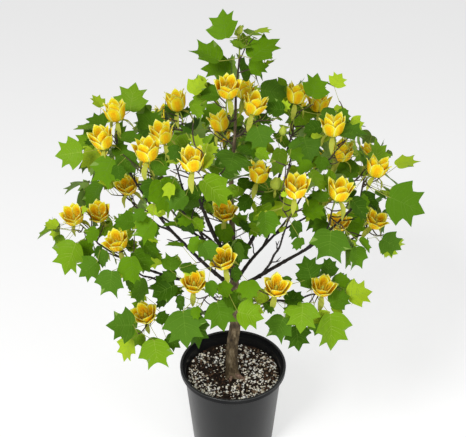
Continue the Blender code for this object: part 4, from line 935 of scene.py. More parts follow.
def petiole_tube(leaf):
    """The leaf's stalk sags a little and thickens at both ends."""
    run = leaf.base - leaf.root
    down = Vector((0.0, 0.0, -PETIOLE_SAG * run.length))
    path = []
    for i in range(6):
        t = i / 5
        path.append(leaf.root + run * t + down * (t * (1 - t)))
    path.append(blade_point(leaf, 0.0, 0.05, LEAF_THICKNESS / 2))
    thick = [1.7, 1.15, 1.0, 1.0, 1.05, 1.2, 0.7]
    size = min(1.15, max(0.75, leaf.length / LEAF_LENGTH))
    return tube(path, [PETIOLE_RADIUS * size * f for f in thick], 5)


def blade_frame(place, heading, draw, loose):
    """(midrib, normal) of a blade: high leaves point up, low ones hang, and all face the light."""
    height = (place.z - CROWN_LOW) / (CROWN_HIGH - CROWN_LOW)
    pitch = LEAF_PITCH_LOW + LEAF_PITCH_RISE * height + draw.gauss(0, LEAF_PITCH_SPREAD + loose)
    pitch = math.radians(pitch)
    midrib = heading * math.cos(pitch) + UP * math.sin(pitch)
    light = UP * 0.55 + outward_from_trunk(place) * 0.45
    if place.y < 0.10:
        light += FRONT * 0.45
    normal = (light - midrib * light.dot(midrib)).normalized()
    roll = math.radians(draw.gauss(0, LEAF_ROLL_SPREAD + loose))
    return midrib, Matrix.Rotation(roll, 3, midrib) @ normal


def pose_leaf(root, twig_direction, azimuth, draw, trial):
    """A leaf that springs from the twig at root."""
    around = at_angle(*cross_axes(twig_direction), azimuth)
    out = outward_from_trunk(root)
    height = (root.z - CROWN_LOW) / (CROWN_HIGH - CROWN_LOW)
    stalk = (twig_direction * 0.40 + around * 0.85 + out * 0.30 + UP * (0.5 * height - 0.2)).normalized()
    length = LEAF_LENGTH * draw.uniform(0.62, 1.22) * (1.0 - 0.016 * trial)
    base = root + stalk * PETIOLE_LENGTH * draw.uniform(0.6, 1.5)
    level = Vector((stalk.x, stalk.y, 0.0)) + out * 0.35
    heading = level.normalized() if level.length > 1e-3 else out
    heading = Matrix.Rotation(math.radians(draw.gauss(0, LEAF_TURN_SPREAD + trial)), 3, "Z") @ heading
    midrib, normal = blade_frame(root, heading, draw, trial)
    return Leaf(root, base, midrib, normal, length, draw.choice(LEAF_KINDS), draw_shape(draw), None)


def pose_far_leaf(fork, centre, length, draw):
    """A leaf of the crown's outline: its blade's centre is given, and its twig comes from fork."""
    out = outward_from_trunk(centre)
    level = Vector((centre.x - fork.x, centre.y - fork.y, 0.0)) + out * 0.02
    midrib, normal = blade_frame(centre, level.normalized(), draw, 0)
    base = centre - midrib * length * 0.45
    run = base - fork
    petiole = min(PETIOLE_LENGTH * 1.2, run.length * 0.6)
    root = base - run.normalized() * petiole
    return Leaf(root, base, midrib, normal, length, draw.choice(LEAF_KINDS), draw_shape(draw), None)


def pose_seen_leaf(seen, depth, carrier, draw):
    """A leaf of SEEN_LEAVES with its blade's foot at this depth. carrier is the twig's point it hangs on."""
    across, down, tip_across, tip_down, wide, kind, tone = seen
    base = CAMERA + sight_line(across, down) * depth
    flat = math.hypot(tip_across - across, tip_down - down) * depth / FOCAL_PIXELS
    width = wide * depth / FOCAL_PIXELS
    length = min(max(flat, width / SEEN_WIDTH_SHARE, 0.5 * flat + 0.014), 0.090)
    deeper = math.sqrt(max(length * length - flat * flat, 0.0)) * (1.0 if tip_down < down else -1.0)
    tip = CAMERA + sight_line(tip_across, tip_down) * (depth + deeper * 0.92)
    midrib = (tip - base).normalized()
    to_camera = (CAMERA - base).normalized()
    normal = (to_camera - midrib * to_camera.dot(midrib)).normalized()
    roll = math.acos(min(1.0, max(0.08, width / (SEEN_WIDTH_SHARE * length))))
    light = UP + outward_from_trunk(base) * 0.3
    turns = [Matrix.Rotation(sign * roll, 3, midrib) @ normal for sign in (1, -1)]
    normal = max(turns, key=lambda turned_normal: turned_normal.dot(light))
    run = base - carrier
    stalk = min(run.length * 0.8, SEEN_PETIOLE * draw.uniform(0.8, 1.3))
    root = base - run.normalized() * stalk if run.length > 1.4 * SEEN_PETIOLE else carrier
    shape = draw_shape(draw)
    shape = shape._replace(droop=shape.droop * 0.6, fold=shape.fold * 1.2, skew=shape.skew * 0.6)
    return Leaf(root, base, midrib, normal, length, KIND_OF[kind], shape, draw.choice(TONES_OF[tone]))


# ---------------------------------------------------------------- flowers and buds
Bloom = namedtuple("Bloom", "base axis size")


def bloom_size(bloom):
    return BLOOM_HEIGHT * bloom.size, BLOOM_WIDTH * bloom.size


def test_bloom(bloom, is_bud):
    """A flower or bud of a few faces, to see whether it has room."""
    side, other = cross_axes(bloom.axis)
    height, width = bloom_size(bloom)
    profile = BUD_PROFILE if is_bud else CUP_PROFILE
    points = []
    for across, along in profile:
        for k in range(TEST_SIDES):
            angle = 2 * math.pi * k / TEST_SIDES
            level = at_angle(side, other, angle)
            points.append(bloom.base + bloom.axis * height * along + level * width * across)
    faces = []
    for ring in range(len(profile) - 1):
        for k in range(TEST_SIDES):
            low, high = ring * TEST_SIDES + k, ring * TEST_SIDES + (k + 1) % TEST_SIDES
            faces.append((low, high, high + TEST_SIDES, low + TEST_SIDES))
    faces.append(tuple(range(2 * TEST_SIDES, 3 * TEST_SIDES)))
    return points, faces


def sheet(rows, columns, surface, thickness, slot_at):
    """A thin closed sheet. surface(u, v) gives (point, normal), u from 0 to 1 and v from -1 to 1."""
    points, faces, slots = [], [], []
    for above in (0.5, -0.5):
        for i in range(rows):
            for j in range(columns):
                u, v = i / (rows - 1), 2 * j / (columns - 1) - 1
                # The outermost strips, which may have a colour of their own, are narrow.
                point, normal = surface(u * (1.2 - 0.2 * u), v * (1.25 - 0.25 * v * v))
                rim = i in (0, rows - 1) or j in (0, columns - 1)
                points.append(point + normal * above * thickness * (0.25 if rim else 1.0))
    low = rows * columns
    for i in range(rows - 1):
        for j in range(columns - 1):
            a = i * columns + j
            b, c, d = a + 1, a + columns + 1, a + columns
            faces += [(a, b, c, d), (low + a, low + d, low + c, low + b)]
            slots += [slot_at(i, j, True), slot_at(i, j, False)]
    rim = list(range(columns))
    rim += [i * columns + columns - 1 for i in range(1, rows)]
    rim += [(rows - 1) * columns + j for j in range(columns - 2, -1, -1)]
    rim += [i * columns for i in range(rows - 2, 0, -1)]
    for a, b in zip(rim, rim[1:] + rim[:1]):
        faces.append((b, a, low + a, low + b))
        slots.append(slot_at(rows - 2, 0, True))
    return (points, faces), slots


def petal_profile(u, opening):
    """(radius, height) of a petal's middle line, as shares of the flower's width and height."""
    knots = ((0.10, 0.0), (0.31, 0.09), (0.43, 0.30), (0.46, 0.56), (0.46, 0.80), (0.47, 1.0))
    radius, height = catmull_rom(knots, u)
    return radius + opening * u * u, height - opening * 0.25 * u


def petal_half_width(u):
    knots = ((0.34,), (0.64,), (0.90,), (1.0,), (0.94,), (0.70,), (0.10,))
    return catmull_rom(knots, u)[0]


def add_flower(pile, bloom, draw):
    side, other = cross_axes(bloom.axis)
    height, width = bloom_size(bloom)
    spin = draw.uniform(0, 2 * math.pi)
    openness = draw.uniform(0.02, 0.08)
    if bloom.base.z < LOW_FLOWERS:
        openness += LOW_FLOWER_OPENING
        height *= LOW_FLOWER_HEIGHT
    for k in range(OUTER_PETALS + INNER_PETALS):
        outer = k < OUTER_PETALS
        count = OUTER_PETALS if outer else INNER_PETALS
        turn = spin + 2 * math.pi * (k + (0.0 if outer else 0.3)) / count + draw.gauss(0, 0.06)
        opening = openness + (0.07 if outer else 0.00) + draw.gauss(0, 0.015)
        girth = (1.0 if outer else 0.80) * (1.03 if k % 2 else 0.96)
        tall = draw.uniform(0.90, 1.0) * (0.90 if outer else 1.06)
        curl = draw.gauss(0, 0.02)

        def surface(u, v):
            radius, level = petal_profile(u, opening)
            radius *= girth
            half = petal_half_width(u) * PETAL_WIDTH * width / 2
            centre_radius = radius * width
            # The petal is hollow towards the axis, and its rim turns out a little at the top.
            hollow = max(centre_radius * 0.90, 0.004)
            bend = max(-1.25, min(1.25, v * half / hollow))
            out = centre_radius + hollow * (math.cos(bend) - 1.0) + curl * width * u * v
            across = hollow * math.sin(bend)
            out += 0.08 * width * u**5
            direction = at_angle(side, other, turn)
            sideways = bloom.axis.cross(direction)
            drop = 0.05 * height * abs(v) ** 2 * u
            point = bloom.base + direction * out + sideways * across
            point += bloom.axis * (level * height * tall - drop)
            normal = (direction * math.cos(bend) + sideways * math.sin(bend)).normalized()
            return point, normal

        def slot_at(i, j, outside):
            """From the rim inwards: pale, yellow, gold, and orange along the middle."""
            inwards = min(j, PETAL_COLUMNS - 2 - j)
            if i == PETAL_ROWS - 2 or inwards == 0 and i > 0:
                return PETAL_RIM
            if outside and i == 0:
                return PETAL_GREEN
            if inwards == 1 or i == PETAL_ROWS - 3:
                return PETAL_YELLOW
            return PETAL_GOLD if inwards == 2 or i == PETAL_ROWS - 4 else PETAL_ORANGE

        pile.add(*sheet(PETAL_ROWS, PETAL_COLUMNS, surface, PETAL_THICKNESS, slot_at))
    # The middle: a pointed cone among upright stamens.
    cone = [bloom.base + bloom.axis * height * f for f in (0.02, 0.15, 0.35, 0.55, 0.66)]
    pile.add(tube(cone, [width * f for f in (0.07, 0.11, 0.10, 0.055, 0.012)], 8), HEART)
    for k in range(STAMENS):
        angle = GOLDEN_ANGLE * k
        level = at_angle(side, other, angle)
        lean = 0.16 + 0.10 * (k % 3) + draw.uniform(-0.02, 0.03)
        foot = bloom.base + level * width * 0.10 + bloom.axis * height * 0.05
        top = bloom.base + level * width * lean + bloom.axis * height * draw.uniform(0.50, 0.64)
        path = [foot, foot.lerp(top, 0.35) + level * 0.001, top]
        pile.add(tube(path, [0.0006, 0.0010, 0.0007], 4), STAMEN)
    add_sepals(pile, bloom, side, other, draw)


def add_sepals(pile, bloom, side, other, draw):
    spin = math.atan2(FRONT.dot(other), FRONT.dot(side)) + draw.gauss(0, 0.35)
    for k in range(SEPALS):
        turn = spin + 2 * math.pi * k / SEPALS + draw.gauss(0, 0.15)
        level = at_angle(side, other, turn)
        hang = draw.uniform(0.75, 1.0) if k == 0 else draw.uniform(0.2, 0.7)
        length = SEPAL_LENGTH * bloom.size * draw.uniform(0.85, 1.1)
        out = (level * (1.0 - 0.55 * hang) - bloom.axis * (0.15 + 0.75 * hang)).normalized()
        root = bloom.base + level * 0.003 * bloom.size
        sideways = bloom.axis.cross(level).normalized()
        normal = out.cross(sideways).normalized()
        if normal.dot(level + bloom.axis) < 0:
            normal = -normal

        def surface(u, v):
            half = length * 0.15 * catmull_rom(((0.45,), (0.8,), (1.0,), (0.95,), (0.65,), (0.06,)), u)[0]
            bow = math.sin(math.pi * min(u * 1.15, 1.0)) * 0.16
            point = root + out * length * u + normal * length * (bow - 0.35 * u * u * (1 - hang))
            point += sideways * v * half + normal * abs(v) ** 2 * half * 0.35
            return point, normal

        pile.add(*sheet(6, 5, surface, SEPAL_THICKNESS, lambda i, j, outside: SEPAL))


def add_bud(pile, bloom, draw):
    """A closed bud: a spindle of overlapping petals in its green sepals."""
    height, width = bloom_size(bloom)
    levels = (-0.02, 0.06, 0.18, 0.32, 0.48, 0.64, 0.75, 0.80)
    girths = (0.05, 0.16, 0.27, 0.32, 0.29, 0.19, 0.09, 0.02)
    path = [bloom.base + bloom.axis * height * f for f in levels]
    spin = draw.uniform(0, 2 * math.pi)

    def ribs(ring, angle, level):
        return width * 0.035 * math.cos(3 * (angle + 0.25 * ring) + spin)

    pile.add(tube(path, [width * f for f in girths], 12, ribs), BUD)
    add_sepals(pile, bloom._replace(size=bloom.size * 0.6), *cross_axes(bloom.axis), draw)


# ---------------------------------------------------------------- growing the sprays
def solid_tree(solid):
    return BVHTree.FromPolygons([tuple(p) for p in solid[0]], solid[1])


def reach_of(solid):
    """(centre, radius) of a ball round the solid."""
    points = solid[0]
    centre = sum(points, Vector()) / len(points)
    return centre, max((p - centre).length for p in points)


class Space:
    """What is already there, so that each new twig, flower and leaf touches nothing."""

    def __init__(self, limbs):
        self.limbs = []
        for limb in limbs.values():
            step = max(1, len(limb.path) // 12)
            path = limb.path[::step] + [limb.path[-1]]
            radii = limb.radii[::step] + [limb.radii[-1]]
            self.limbs.append(solid_tree(tube(path, [radius + 0.001 for radius in radii], 6)))
        self.things = []
        self.growths = []
        self.covers = []
        self.bloom_discs = []

    def free(self, solids):
        for solid in solids:
            tree = solid_tree(solid)
            centre, radius = reach_of(solid)
            if any(tree.overlap(limb) for limb in self.limbs):
                return False
            for other_centre, other_radius, other in self.things:
                if (centre - other_centre).length < radius + other_radius and tree.overlap(other):
                    return False
        return True

    def add(self, solids):
        for solid in solids:
            self.things.append((*reach_of(solid), solid_tree(solid)))

    def cover_leaf(self, leaf):
        across, down, depth = in_picture(blade_point(leaf, 0.0, 0.48))
        radius = COVER_RADIUS * leaf.length * FOCAL_PIXELS / depth
        self.covers.append((across, down, radius, depth))

    def cover_bloom(self, bloom):
        across, down, depth = in_picture(bloom.base + bloom.axis * BLOOM_HEIGHT * 0.4 * bloom.size)
        radius = 0.5 * BLOOM_WIDTH * bloom.size * FOCAL_PIXELS / depth
        self.bloom_discs.append((across, down + 3.0, radius, depth))
        self.covers.append((across, down, radius, depth))

    def hides_bloom(self, points):
        """Whether any of the points would stand before a flower that the photograph shows."""
        for point in points:
            x, y, depth = in_picture(point)
            for across, down, radius, bloom_depth in self.bloom_discs:
                if depth < bloom_depth + 0.01 and math.hypot(x - across, y - down) < radius:
                    return True
        return False

    def hidden_place(self, entry, draw):
        """The flower's place, or one near it that the front of the crown hides."""
        centre, rest = Vector(entry[:3]), entry[3:]
        for trial in range(40):
            step = Vector([draw.uniform(-1, 1) * BLOOM_HIDE_STEP * min(1.0, trial / 20) for _ in range(3)])
            place = centre + step
            sides = ((0, 0), (1, 0), (-1, 0), (0, 1), (0, -1))
            rim = [place + Vector((0.018 * a, 0.0, 0.018 * b)) for a, b in sides]
            if self.behind_covers(rim):
                return (*place, *rest)
        return entry

    def behind_covers(self, points):
        """Whether all the points are behind the leaves and flowers that the photograph shows."""
        for point in points:
            x, y, depth = in_picture(point)
            inside = False
            for across, down, radius, cover_depth in self.covers:
                apart = math.hypot(x - across, y - down)
                if apart < radius * 0.8 and depth < cover_depth:
                    return False
                if apart < radius + COVER_MARGIN:
                    inside = True
            if not inside:
                return False
        return True

    def owner(self, point):
        return min(self.growths, key=lambda growth: growth.nearest_seed(point))

    def fits(self, leaf, growth):
        solid = test_solid(leaf)
        if not all(inside_crown(point) for point in solid[0][:7]):
            return False
        if self.owner(solid[0][7]) is not growth:
            return False
        return self.behind_covers(solid[0][:8]) and self.free([solid])


def inside_box(point):
    low, high = cad_box
    return all(low[i] - PROUD < point[i] < high[i] + PROUD for i in range(3))


def inside_crown(point):
    if not inside_box(point):
        return False
    heights = [entry[0] for entry in CROWN_PROFILE]
    if not heights[0] < point.z < heights[-1]:
        return False
    i = max(k for k, height in enumerate(heights[:-1]) if height <= point.z)
    (low, near), (high, far) = CROWN_PROFILE[i], CROWN_PROFILE[i + 1]
    return math.hypot(point.x, point.y) < near + (far - near) * (point.z - low) / (high - low)


def beyond_root(path, distance=0.008):
    """The path without its first stretch, which lies in what it springs from."""
    share = min(distance / path_length(path), 0.4)
    return [path_point(path, share)[0], path_point(path, (1 + share) / 2)[0], path[-1]]


class Growth:
    """One spray while it grows: its twigs, flowers and leaves, and the seeds of the space it keeps to."""

    def __init__(self, spray, limbs):
        self.spray = spray
        self.name = spray.name
        self.draw = random.Random(spray.name)
        self.twigs, self.blooms, self.leaves, self.joints = [], [], [], []
        limb = limbs[spray.limb]
        point, along = path_point(limb.path, spray.share)
        self.start = point
        sideways = outward_from_trunk(Vector(spray.blooms[0][:3]) - point)
        self.leave = along if spray.share == 1.0 else sideways
        self.seeds = [self.start.copy()]
        self.seeds += [Vector(entry[:3]) for entry in spray.blooms + spray.far_leaves]
        self.seeds += [self.start.lerp(seed, 0.55) for seed in self.seeds[1:]]

    def nearest_seed(self, point):
        return min((point - seed).length_squared for seed in self.seeds)

    def curve(self, root, leave, arrive, end):
        """A path from root to end with a random bend."""
        reach = (end - root).length
        bend = Vector([self.draw.gauss(0, TWIG_BEND) for _ in range(3)]) * min(1.0, reach / 0.1)
        handle = reach * TWIG_HANDLE
        near, far = root + leave * handle + bend, end - arrive * handle + bend
        pieces = max(4, int(reach / TWIG_STEP))
        return [bezier(root, near, far, end, i / pieces) for i in range(pieces + 1)]

    def has_room_at(self, joint):
        return all((joint - other).length > JOINT_SPACING for other in self.joints)

    def fork(self, target):
        """The point of the stem's inner part that a shoot towards the target leaves from."""
        path = self.twigs[0][0]
        places = [path_point(path, share / 20)[0] for share in range(3, 17)]
        places = [place for place in places if self.has_room_at(place)]
        return min(places, key=lambda place: (place - target).length + 0.5 * (place - self.start).length)

    def add_twig(self, path, space, ends=(), flowering=False):
        solid = tube(beyond_root(path), [TWIG_RADII[1]] * 3, 3)
        if not space.free([solid, *ends]):
            return False
        self.twigs.append((path, flowering))
        self.joints.append(path[0])
        return True

    def grow_shoot(self, number, entry, space):
        """A twig that ends in a flower or bud. The first is the spray's stem, and the others fork from it."""
        centre, size = Vector(entry[:3]), entry[3] if len(entry) > 3 else 1.0
        is_bud = size < 1.0
        out = outward_from_trunk(centre)
        for trial in range(TWIG_TRIES):
            lean = Vector((self.draw.gauss(0, 0.10), self.draw.gauss(0, 0.10), 0.0))
            away = HIGH_FLOWER_LEAN if centre.z > LOW_FLOWERS else LOW_FLOWER_LEAN
            axis = (UP + out * 0.16 - FRONT * away + lean).normalized()
            bloom = Bloom(centre - axis * BLOOM_HEIGHT * size * (0.4 if is_bud else 0.5), axis, size)
            end = bloom.base + axis * 0.003
            if number == 0:
                collar = self.start + self.leave * STEM_COLLAR
                path = [self.start] + self.curve(collar, self.leave, axis, end)
            else:
                root = self.fork(bloom.base)
                path = self.curve(root, (bloom.base - root).normalized(), axis, end)
            if self.add_twig(path, space, [test_bloom(bloom, is_bud)], True) or trial == TWIG_TRIES - 1:
                if trial == TWIG_TRIES - 1 and number == 0 and not self.twigs:
                    self.twigs.append((path, True))
                self.blooms.append((bloom, is_bud))
                return

    def grow_far_leaf(self, entry, space):
        """A twig that ends in one of the leaves of the crown's outline."""
        centre, length = Vector(entry[:3]), entry[3]
        for _ in range(TWIG_TRIES):
            fork = self.fork(centre)
            leaf = pose_far_leaf(fork, centre, length, self.draw)
            towards = (leaf.base - leaf.root).normalized()
            path = self.curve(fork, (leaf.root - fork).normalized(), towards, leaf.root)
            if self.add_twig(path, space, [test_solid(leaf)]):
                self.leaves.append(leaf)
                return

    def grow_side_twigs(self, space):
        for number in range(SIDE_TWIGS):
            self.grow_side_twig(number, space)
        space.add([tube(beyond_root(path), [TWIG_RADII[1]] * 3, 3) for path, _ in self.twigs])

    def grow_side_twig(self, number, space):
        """A leafy twig without a flower, that spreads sideways and outwards."""
        stem = self.twigs[0][0]
        for trial in range(TWIG_TRIES):
            root = path_point(stem, self.draw.uniform(0.2, 0.85))[0]
            out = outward_from_trunk(root)
            turn = SIDE_TWIG_SPREAD * (1 if number % 2 else -1) * self.draw.uniform(0.4, 1.5)
            run = (Matrix.Rotation(turn, 3, "Z") @ out + UP * self.draw.uniform(-0.1, 0.6)).normalized()
            length = SIDE_TWIG_LENGTH * self.draw.uniform(0.6, 1.2) * (1 - 0.02 * trial)
            end = root + (run + UP * 0.2).normalized() * length
            path = self.curve(root, run, (run + UP * 0.4).normalized(), end)
            if self.has_room_at(root) and space.owner(end) is self and self.add_twig(path, space):
                return

    def leaf_sites(self):
        """(root, twig direction, azimuth) of each leaf, the tips of the twigs first."""
        sites = []
        for order, (path, _) in enumerate(self.twigs):
            length = path_length(path)
            turn = self.draw.uniform(0, 2 * math.pi)
            for i in range(LEAVES_PER_TWIG):
                distance = length - LEAF_BARE_TIP - LEAF_SPACING * i
                if distance < LEAF_BARE_ROOT:
                    break
                point, direction = path_point(path, distance / length)
                sites.append((i, order, point, direction, turn + GOLDEN_ANGLE * i))
        sites.sort(key=lambda site: site[:2])
        return [site[2:] for site in sites]


def carriers_on(path, growth):
    """Points along a twig that a leaf can spring from, each with the twig's direction and its spray."""
    pieces = max(2, int(path_length(path) / CARRIER_SPACING))
    return [(*path_point(path, i / pieces), growth) for i in range(1, pieces + 1)]


def carriers(growths):
    return [place for growth in growths for path, _ in growth.twigs for place in carriers_on(path, growth)]


def nearest_carriers(seen, places):
    """The carriers from the best on: near the leaf's line of sight, and not far back."""
    line = sight_line(seen[0], seen[1])
    costs = []
    for i, (point, _, _) in enumerate(places):
        depth = (point - CAMERA).dot(VIEW_AHEAD)
        apart = (CAMERA + line * depth - point).length
        costs.append((apart + SEEN_DEPTH_COST * (point.y + 0.35), i))
    costs.sort()
    return costs


def grow_seen_leaf(seen, space, places, draw, tries):
    """Hangs one leaf of SEEN_LEAVES on the nearest twig that leaves it room. Says whether it could."""
    tried = []
    for _, i in nearest_carriers(seen, places):
        point, direction, growth = places[i]
        if any((point - other).length < CARRIERS_APART for other in tried):
            continue
        tried.append(point)
        if len(tried) > tries:
            return False
        if not growth.has_room_at(point):
            continue
        for shift in SEEN_SHIFTS:
            depth = (point - CAMERA).dot(VIEW_AHEAD) - 0.010 + shift
            leaf = pose_seen_leaf(seen, depth, point, draw)
            solid = test_solid(leaf)
            if space.hides_bloom(solid[0][:8]):
                continue
            if not all(inside_box(corner) for corner in solid[0]):
                continue
            if not space.free([solid]):
                continue
            if leaf.root is point:
                growth.joints.append(point)
            else:
                run = (leaf.root - point).normalized()
                path = growth.curve(point, (run + direction * 0.5).normalized(), run, leaf.root)
                if not growth.add_twig(path, space, [solid]):
                    continue
                space.add([tube(beyond_root(path), [TWIG_RADII[1]] * 3, 3)])
                places += carriers_on(path, growth)
            growth.leaves.append(leaf)
            space.add([solid])
            space.cover_leaf(leaf)
            return True
    return False


def grow_seen_leaves(growths, space):
    """The leaves that the photograph shows, those nearest to a twig and the widest first."""
    draw = random.Random("seen leaves")
    waiting = list(SEEN_LEAVES)
    for tries in SEEN_TRIES:
        places = carriers(growths)
        waiting.sort(key=lambda seen: nearest_carriers(seen, places)[0][0] - SEEN_SIZE_GAIN * seen[4])
        waiting = [seen for seen in waiting if not grow_seen_leaf(seen, space, places, draw, tries)]


def grow_sprays(limbs):
    """The side that the photograph shows grows first, then the back, and the leaves between come last.

    What the photograph doesn't show is only grown where the seen leaves and flowers hide it from the camera.
    """
    space = Space(limbs)
    growths = [Growth(spray, limbs) for spray in SPRAYS]
    space.growths = growths
    seen = [growth for growth in growths if "_back" not in growth.name or "top" in growth.name]
    unseen = [growth for growth in growths if growth not in seen]
    for growth in seen:
        for number, entry in enumerate(growth.spray.blooms):
            growth.grow_shoot(number, entry, space)
            space.add([test_bloom(*growth.blooms[-1])])
            space.cover_bloom(growth.blooms[-1][0])
    for growth in seen:
        growth.grow_side_twigs(space)
    grow_seen_leaves(seen, space)
    for growth in unseen:
        for number, entry in enumerate(growth.spray.blooms):
            growth.grow_shoot(number, space.hidden_place(entry, growth.draw), space)
            space.add([test_bloom(*growth.blooms[-1])])
    for growth in unseen:
        for entry in growth.spray.far_leaves:
            growth.grow_far_leaf(entry, space)
        space.add([test_solid(leaf) for leaf in growth.leaves])
        growth.grow_side_twigs(space)
    for growth in growths:
        for root, direction, azimuth in growth.leaf_sites():
            if len(growth.leaves) >= LEAVES_PER_SPRAY:
                break
            if not growth.has_room_at(root):
                continue
            for trial in range(LEAF_TRIES):
                turn = azimuth + growth.draw.gauss(0, 0.08 * trial)
                leaf = pose_leaf(root, direction, turn, growth.draw, trial)
                if space.fits(leaf, growth):
                    growth.leaves.append(leaf)
                    growth.joints.append(root)
                    space.add([test_solid(leaf)])
                    break
    return growths, space


def leaf_tone(leaf, draw):
    """Outer, high and small leaves are the youngest and brightest, and their light tones are partly painted
    light on lit leaves. Inner, low and large leaves get the deep tone, which is partly their age and partly
    painted shade of the crown's inside.
    """
    middle = blade_point(leaf, 0.0, 0.5)
    reach = math.hypot(middle.x, middle.y) / 0.36
    high = (middle.z - CROWN_LOW) / (CROWN_HIGH - CROWN_LOW)
    young = 0.42 * reach + 0.22 * high + 1.1 * (1 - leaf.length / LEAF_LENGTH) + draw.gauss(0, 0.13)
    if 0.18 < young < 0.55 and draw.random() < 0.5:
        return draw.choice((COOL, WARM))
    return DEEP_AND_SHADED if young < 0.22 else MIDDLE if young < 0.50 else LIGHT if young < 0.80 else YOUNG_AND_LIT


# ---------------------------------------------------------------- pot and mix
def wall_radius(height):
    return FOOT_RADIUS + (SHOULDER_RADIUS - FOOT_RADIUS) * height / (POT_HEIGHT - LIP_SKIRT)


def turned(profile, segments, stray=None):
    """A profile of (radius, height) turned about Z, which starts and ends on the axis."""
    points = [Vector((0.0, 0.0, profile[0][1])), Vector((0.0, 0.0, profile[-1][1]))]
    rims = profile[1:-1]
    for radius, height in rims:
        for k in range(segments):
            angle = 2 * math.pi * k / segments
            point = Vector((radius * math.cos(angle), radius * math.sin(angle), height))
            points.append(stray(point) if stray else point)
    faces = []
    for k in range(segments):
        after = (k + 1) % segments
        faces.append((0, 2 + after, 2 + k))
        for rim in range(len(rims) - 1):
            low = 2 + rim * segments
            faces.append((low + k, low + after, low + segments + after, low + segments + k))
        last = 2 + (len(rims) - 1) * segments
        faces.append((1, last + k, last + after))
    return points, faces


def rounded(profile, radius, steps=4):
    """The profile with its corners rounded."""
    soft = [profile[0]]
    for before, corner, after in zip(profile, profile[1:], profile[2:]):
        a, b, c = Vector(before), Vector(corner), Vector(after)
        cut = min(radius, (a - b).length * 0.45, (c - b).length * 0.45)
        start, end = b + (a - b).normalized() * cut, b + (c - b).normalized() * cut
        for i in range(steps + 1):
            t = i / steps
            soft.append(tuple(start.lerp(b, t).lerp(b.lerp(end, t), t)))
    soft.append(profile[-1])
    return soft


def make_pot():
    lip_low = POT_HEIGHT - LIP_SKIRT
    ledge = POT_HEIGHT - LEDGE_DEPTH
    inner_lip = LIP_RADIUS - LIP_WIDTH
    profile = [
        (0.0, 0.0),
        (FOOT_RADIUS, 0.0),
        (SHOULDER_RADIUS - 0.0006, lip_low - 0.010),
        (SHOULDER_RADIUS + 0.0006, lip_low - 0.0095),
        (SHOULDER_RADIUS + 0.0006, lip_low),
        (LIP_RADIUS - 0.0010, lip_low),
        (LIP_RADIUS, POT_HEIGHT),
        (inner_lip, POT_HEIGHT),
        (inner_lip, ledge),
        (wall_radius(ledge) - WALL, ledge),
        (wall_radius(POT_FLOOR) - WALL, POT_FLOOR),
        (0.0, POT_FLOOR),
    ]
    points, faces = turned(rounded(profile, POT_ROUND), POT_SIDES)
    pile = Pile()
    slots = []
    for face in faces:
        heights = [points[i].z for i in face]
        on_rim = max(heights) > POT_HEIGHT - RIM_GLOSS_DEPTH
        on_lip = min(heights) > lip_low - 0.0005
        slots.append(2 if on_rim and min(heights) > lip_low else 1 if on_lip else 0)
    pile.add((points, faces), slots)
    return pile


def mix_height(x, y):
    """The height of the mix's loose surface."""
    radius = math.hypot(x, y)
    rise = MIX_EDGE_RISE * max(0.0, (radius - MIX_DISH) / (wall_radius(MIX_TOP) - MIX_DISH)) ** 1.4
    rough = noise.noise(Vector((x * 60, y * 60, 0.3))) * 0.0022
    rough += noise.noise(Vector((x * 230, y * 230, 1.7))) * 0.0011
    mound = 0.0025 * math.exp(-((radius / 0.035) ** 2))
    return MIX_TOP + rise - 0.0012 + rough + mound


def make_mix():
    """The mix's surface and body under the loose grains."""
    outer = wall_radius(MIX_TOP) - WALL - 2 * GAP
    profile = [(outer * i / MIX_RINGS, MIX_TOP) for i in range(MIX_RINGS + 1)]
    profile += [(wall_radius(MIX_LOW) - WALL - GAP - 0.001, MIX_LOW), (0.0, MIX_LOW)]
    profile.reverse()

    def stray(point):
        if point.z < MIX_TOP - 0.001:
            return point
        return Vector((point.x, point.y, mix_height(point.x, point.y)))

    points, faces = turned(profile, MIX_SIDES, stray)
    points[1] = Vector((0.0, 0.0, mix_height(0.0, 0.0)))
    pile = Pile()
    pile.add((points, faces))
    return pile


# A lump's faces: from the top corner to the upper ring, between the rings, and to the bottom corner.
LUMP_RINGS = [(k + 1, (k + 1) % 5 + 1, k + 6, (k + 1) % 5 + 6) for k in range(5)]
LUMP_FACES = [(0, a, b) for a, b, _, _ in LUMP_RINGS]
LUMP_FACES += [(a, c, b) for a, b, c, _ in LUMP_RINGS]
LUMP_FACES += [(c, d, b) for _, b, c, d in LUMP_RINGS]
LUMP_FACES += [(11, d, c) for _, _, c, d in LUMP_RINGS]


def lump(centre, size, stretch, draw):
    """A rough twenty-faced grain, turned at random."""
    corners = [Vector((0, 0, 1))]
    for ring, level in ((0, 0.447), (1, -0.447)):
        for k in range(5):
            angle = math.radians(72 * k + 36 * ring)
            corners.append(Vector((0.894 * math.cos(angle), 0.894 * math.sin(angle), level)))
    corners.append(Vector((0, 0, -1)))
    turn = Matrix.Rotation(draw.uniform(0, 6.28), 3, "Z") @ Matrix.Rotation(draw.uniform(-0.7, 0.7), 3, "X")
    points = []
    for corner in corners:
        corner = corner * draw.uniform(0.78, 1.15)
        corner = Vector([part * longer for part, longer in zip(corner, stretch)])
        points.append(centre + turn @ corner * size)
    return points, LUMP_FACES


def scatter_mix(count, seed, size_range, stretch_range, keep):
    """Grains strewn over the mix. keep(x, y) is the share of them that stays at a place."""
    draw = random.Random(seed)
    outer = wall_radius(MIX_TOP) - WALL - 0.0035
    found = []
    for _ in range(count):
        radius = outer * math.sqrt(draw.random())
        angle = draw.uniform(0, 2 * math.pi)
        x, y = radius * math.cos(angle), radius * math.sin(angle)
        size = draw.uniform(*size_range) * draw.uniform(0.7, 1.0)
        if radius < GRAIN_BARE or draw.random() > keep(x, y):
            continue
        stretch = [draw.uniform(*stretch_range) for _ in range(2)] + [draw.uniform(0.45, 0.9)]
        centre = Vector((x, y, mix_height(x, y) + size * 0.25))
        found.append((lump(centre, size, stretch, draw), draw.random()))
    return found


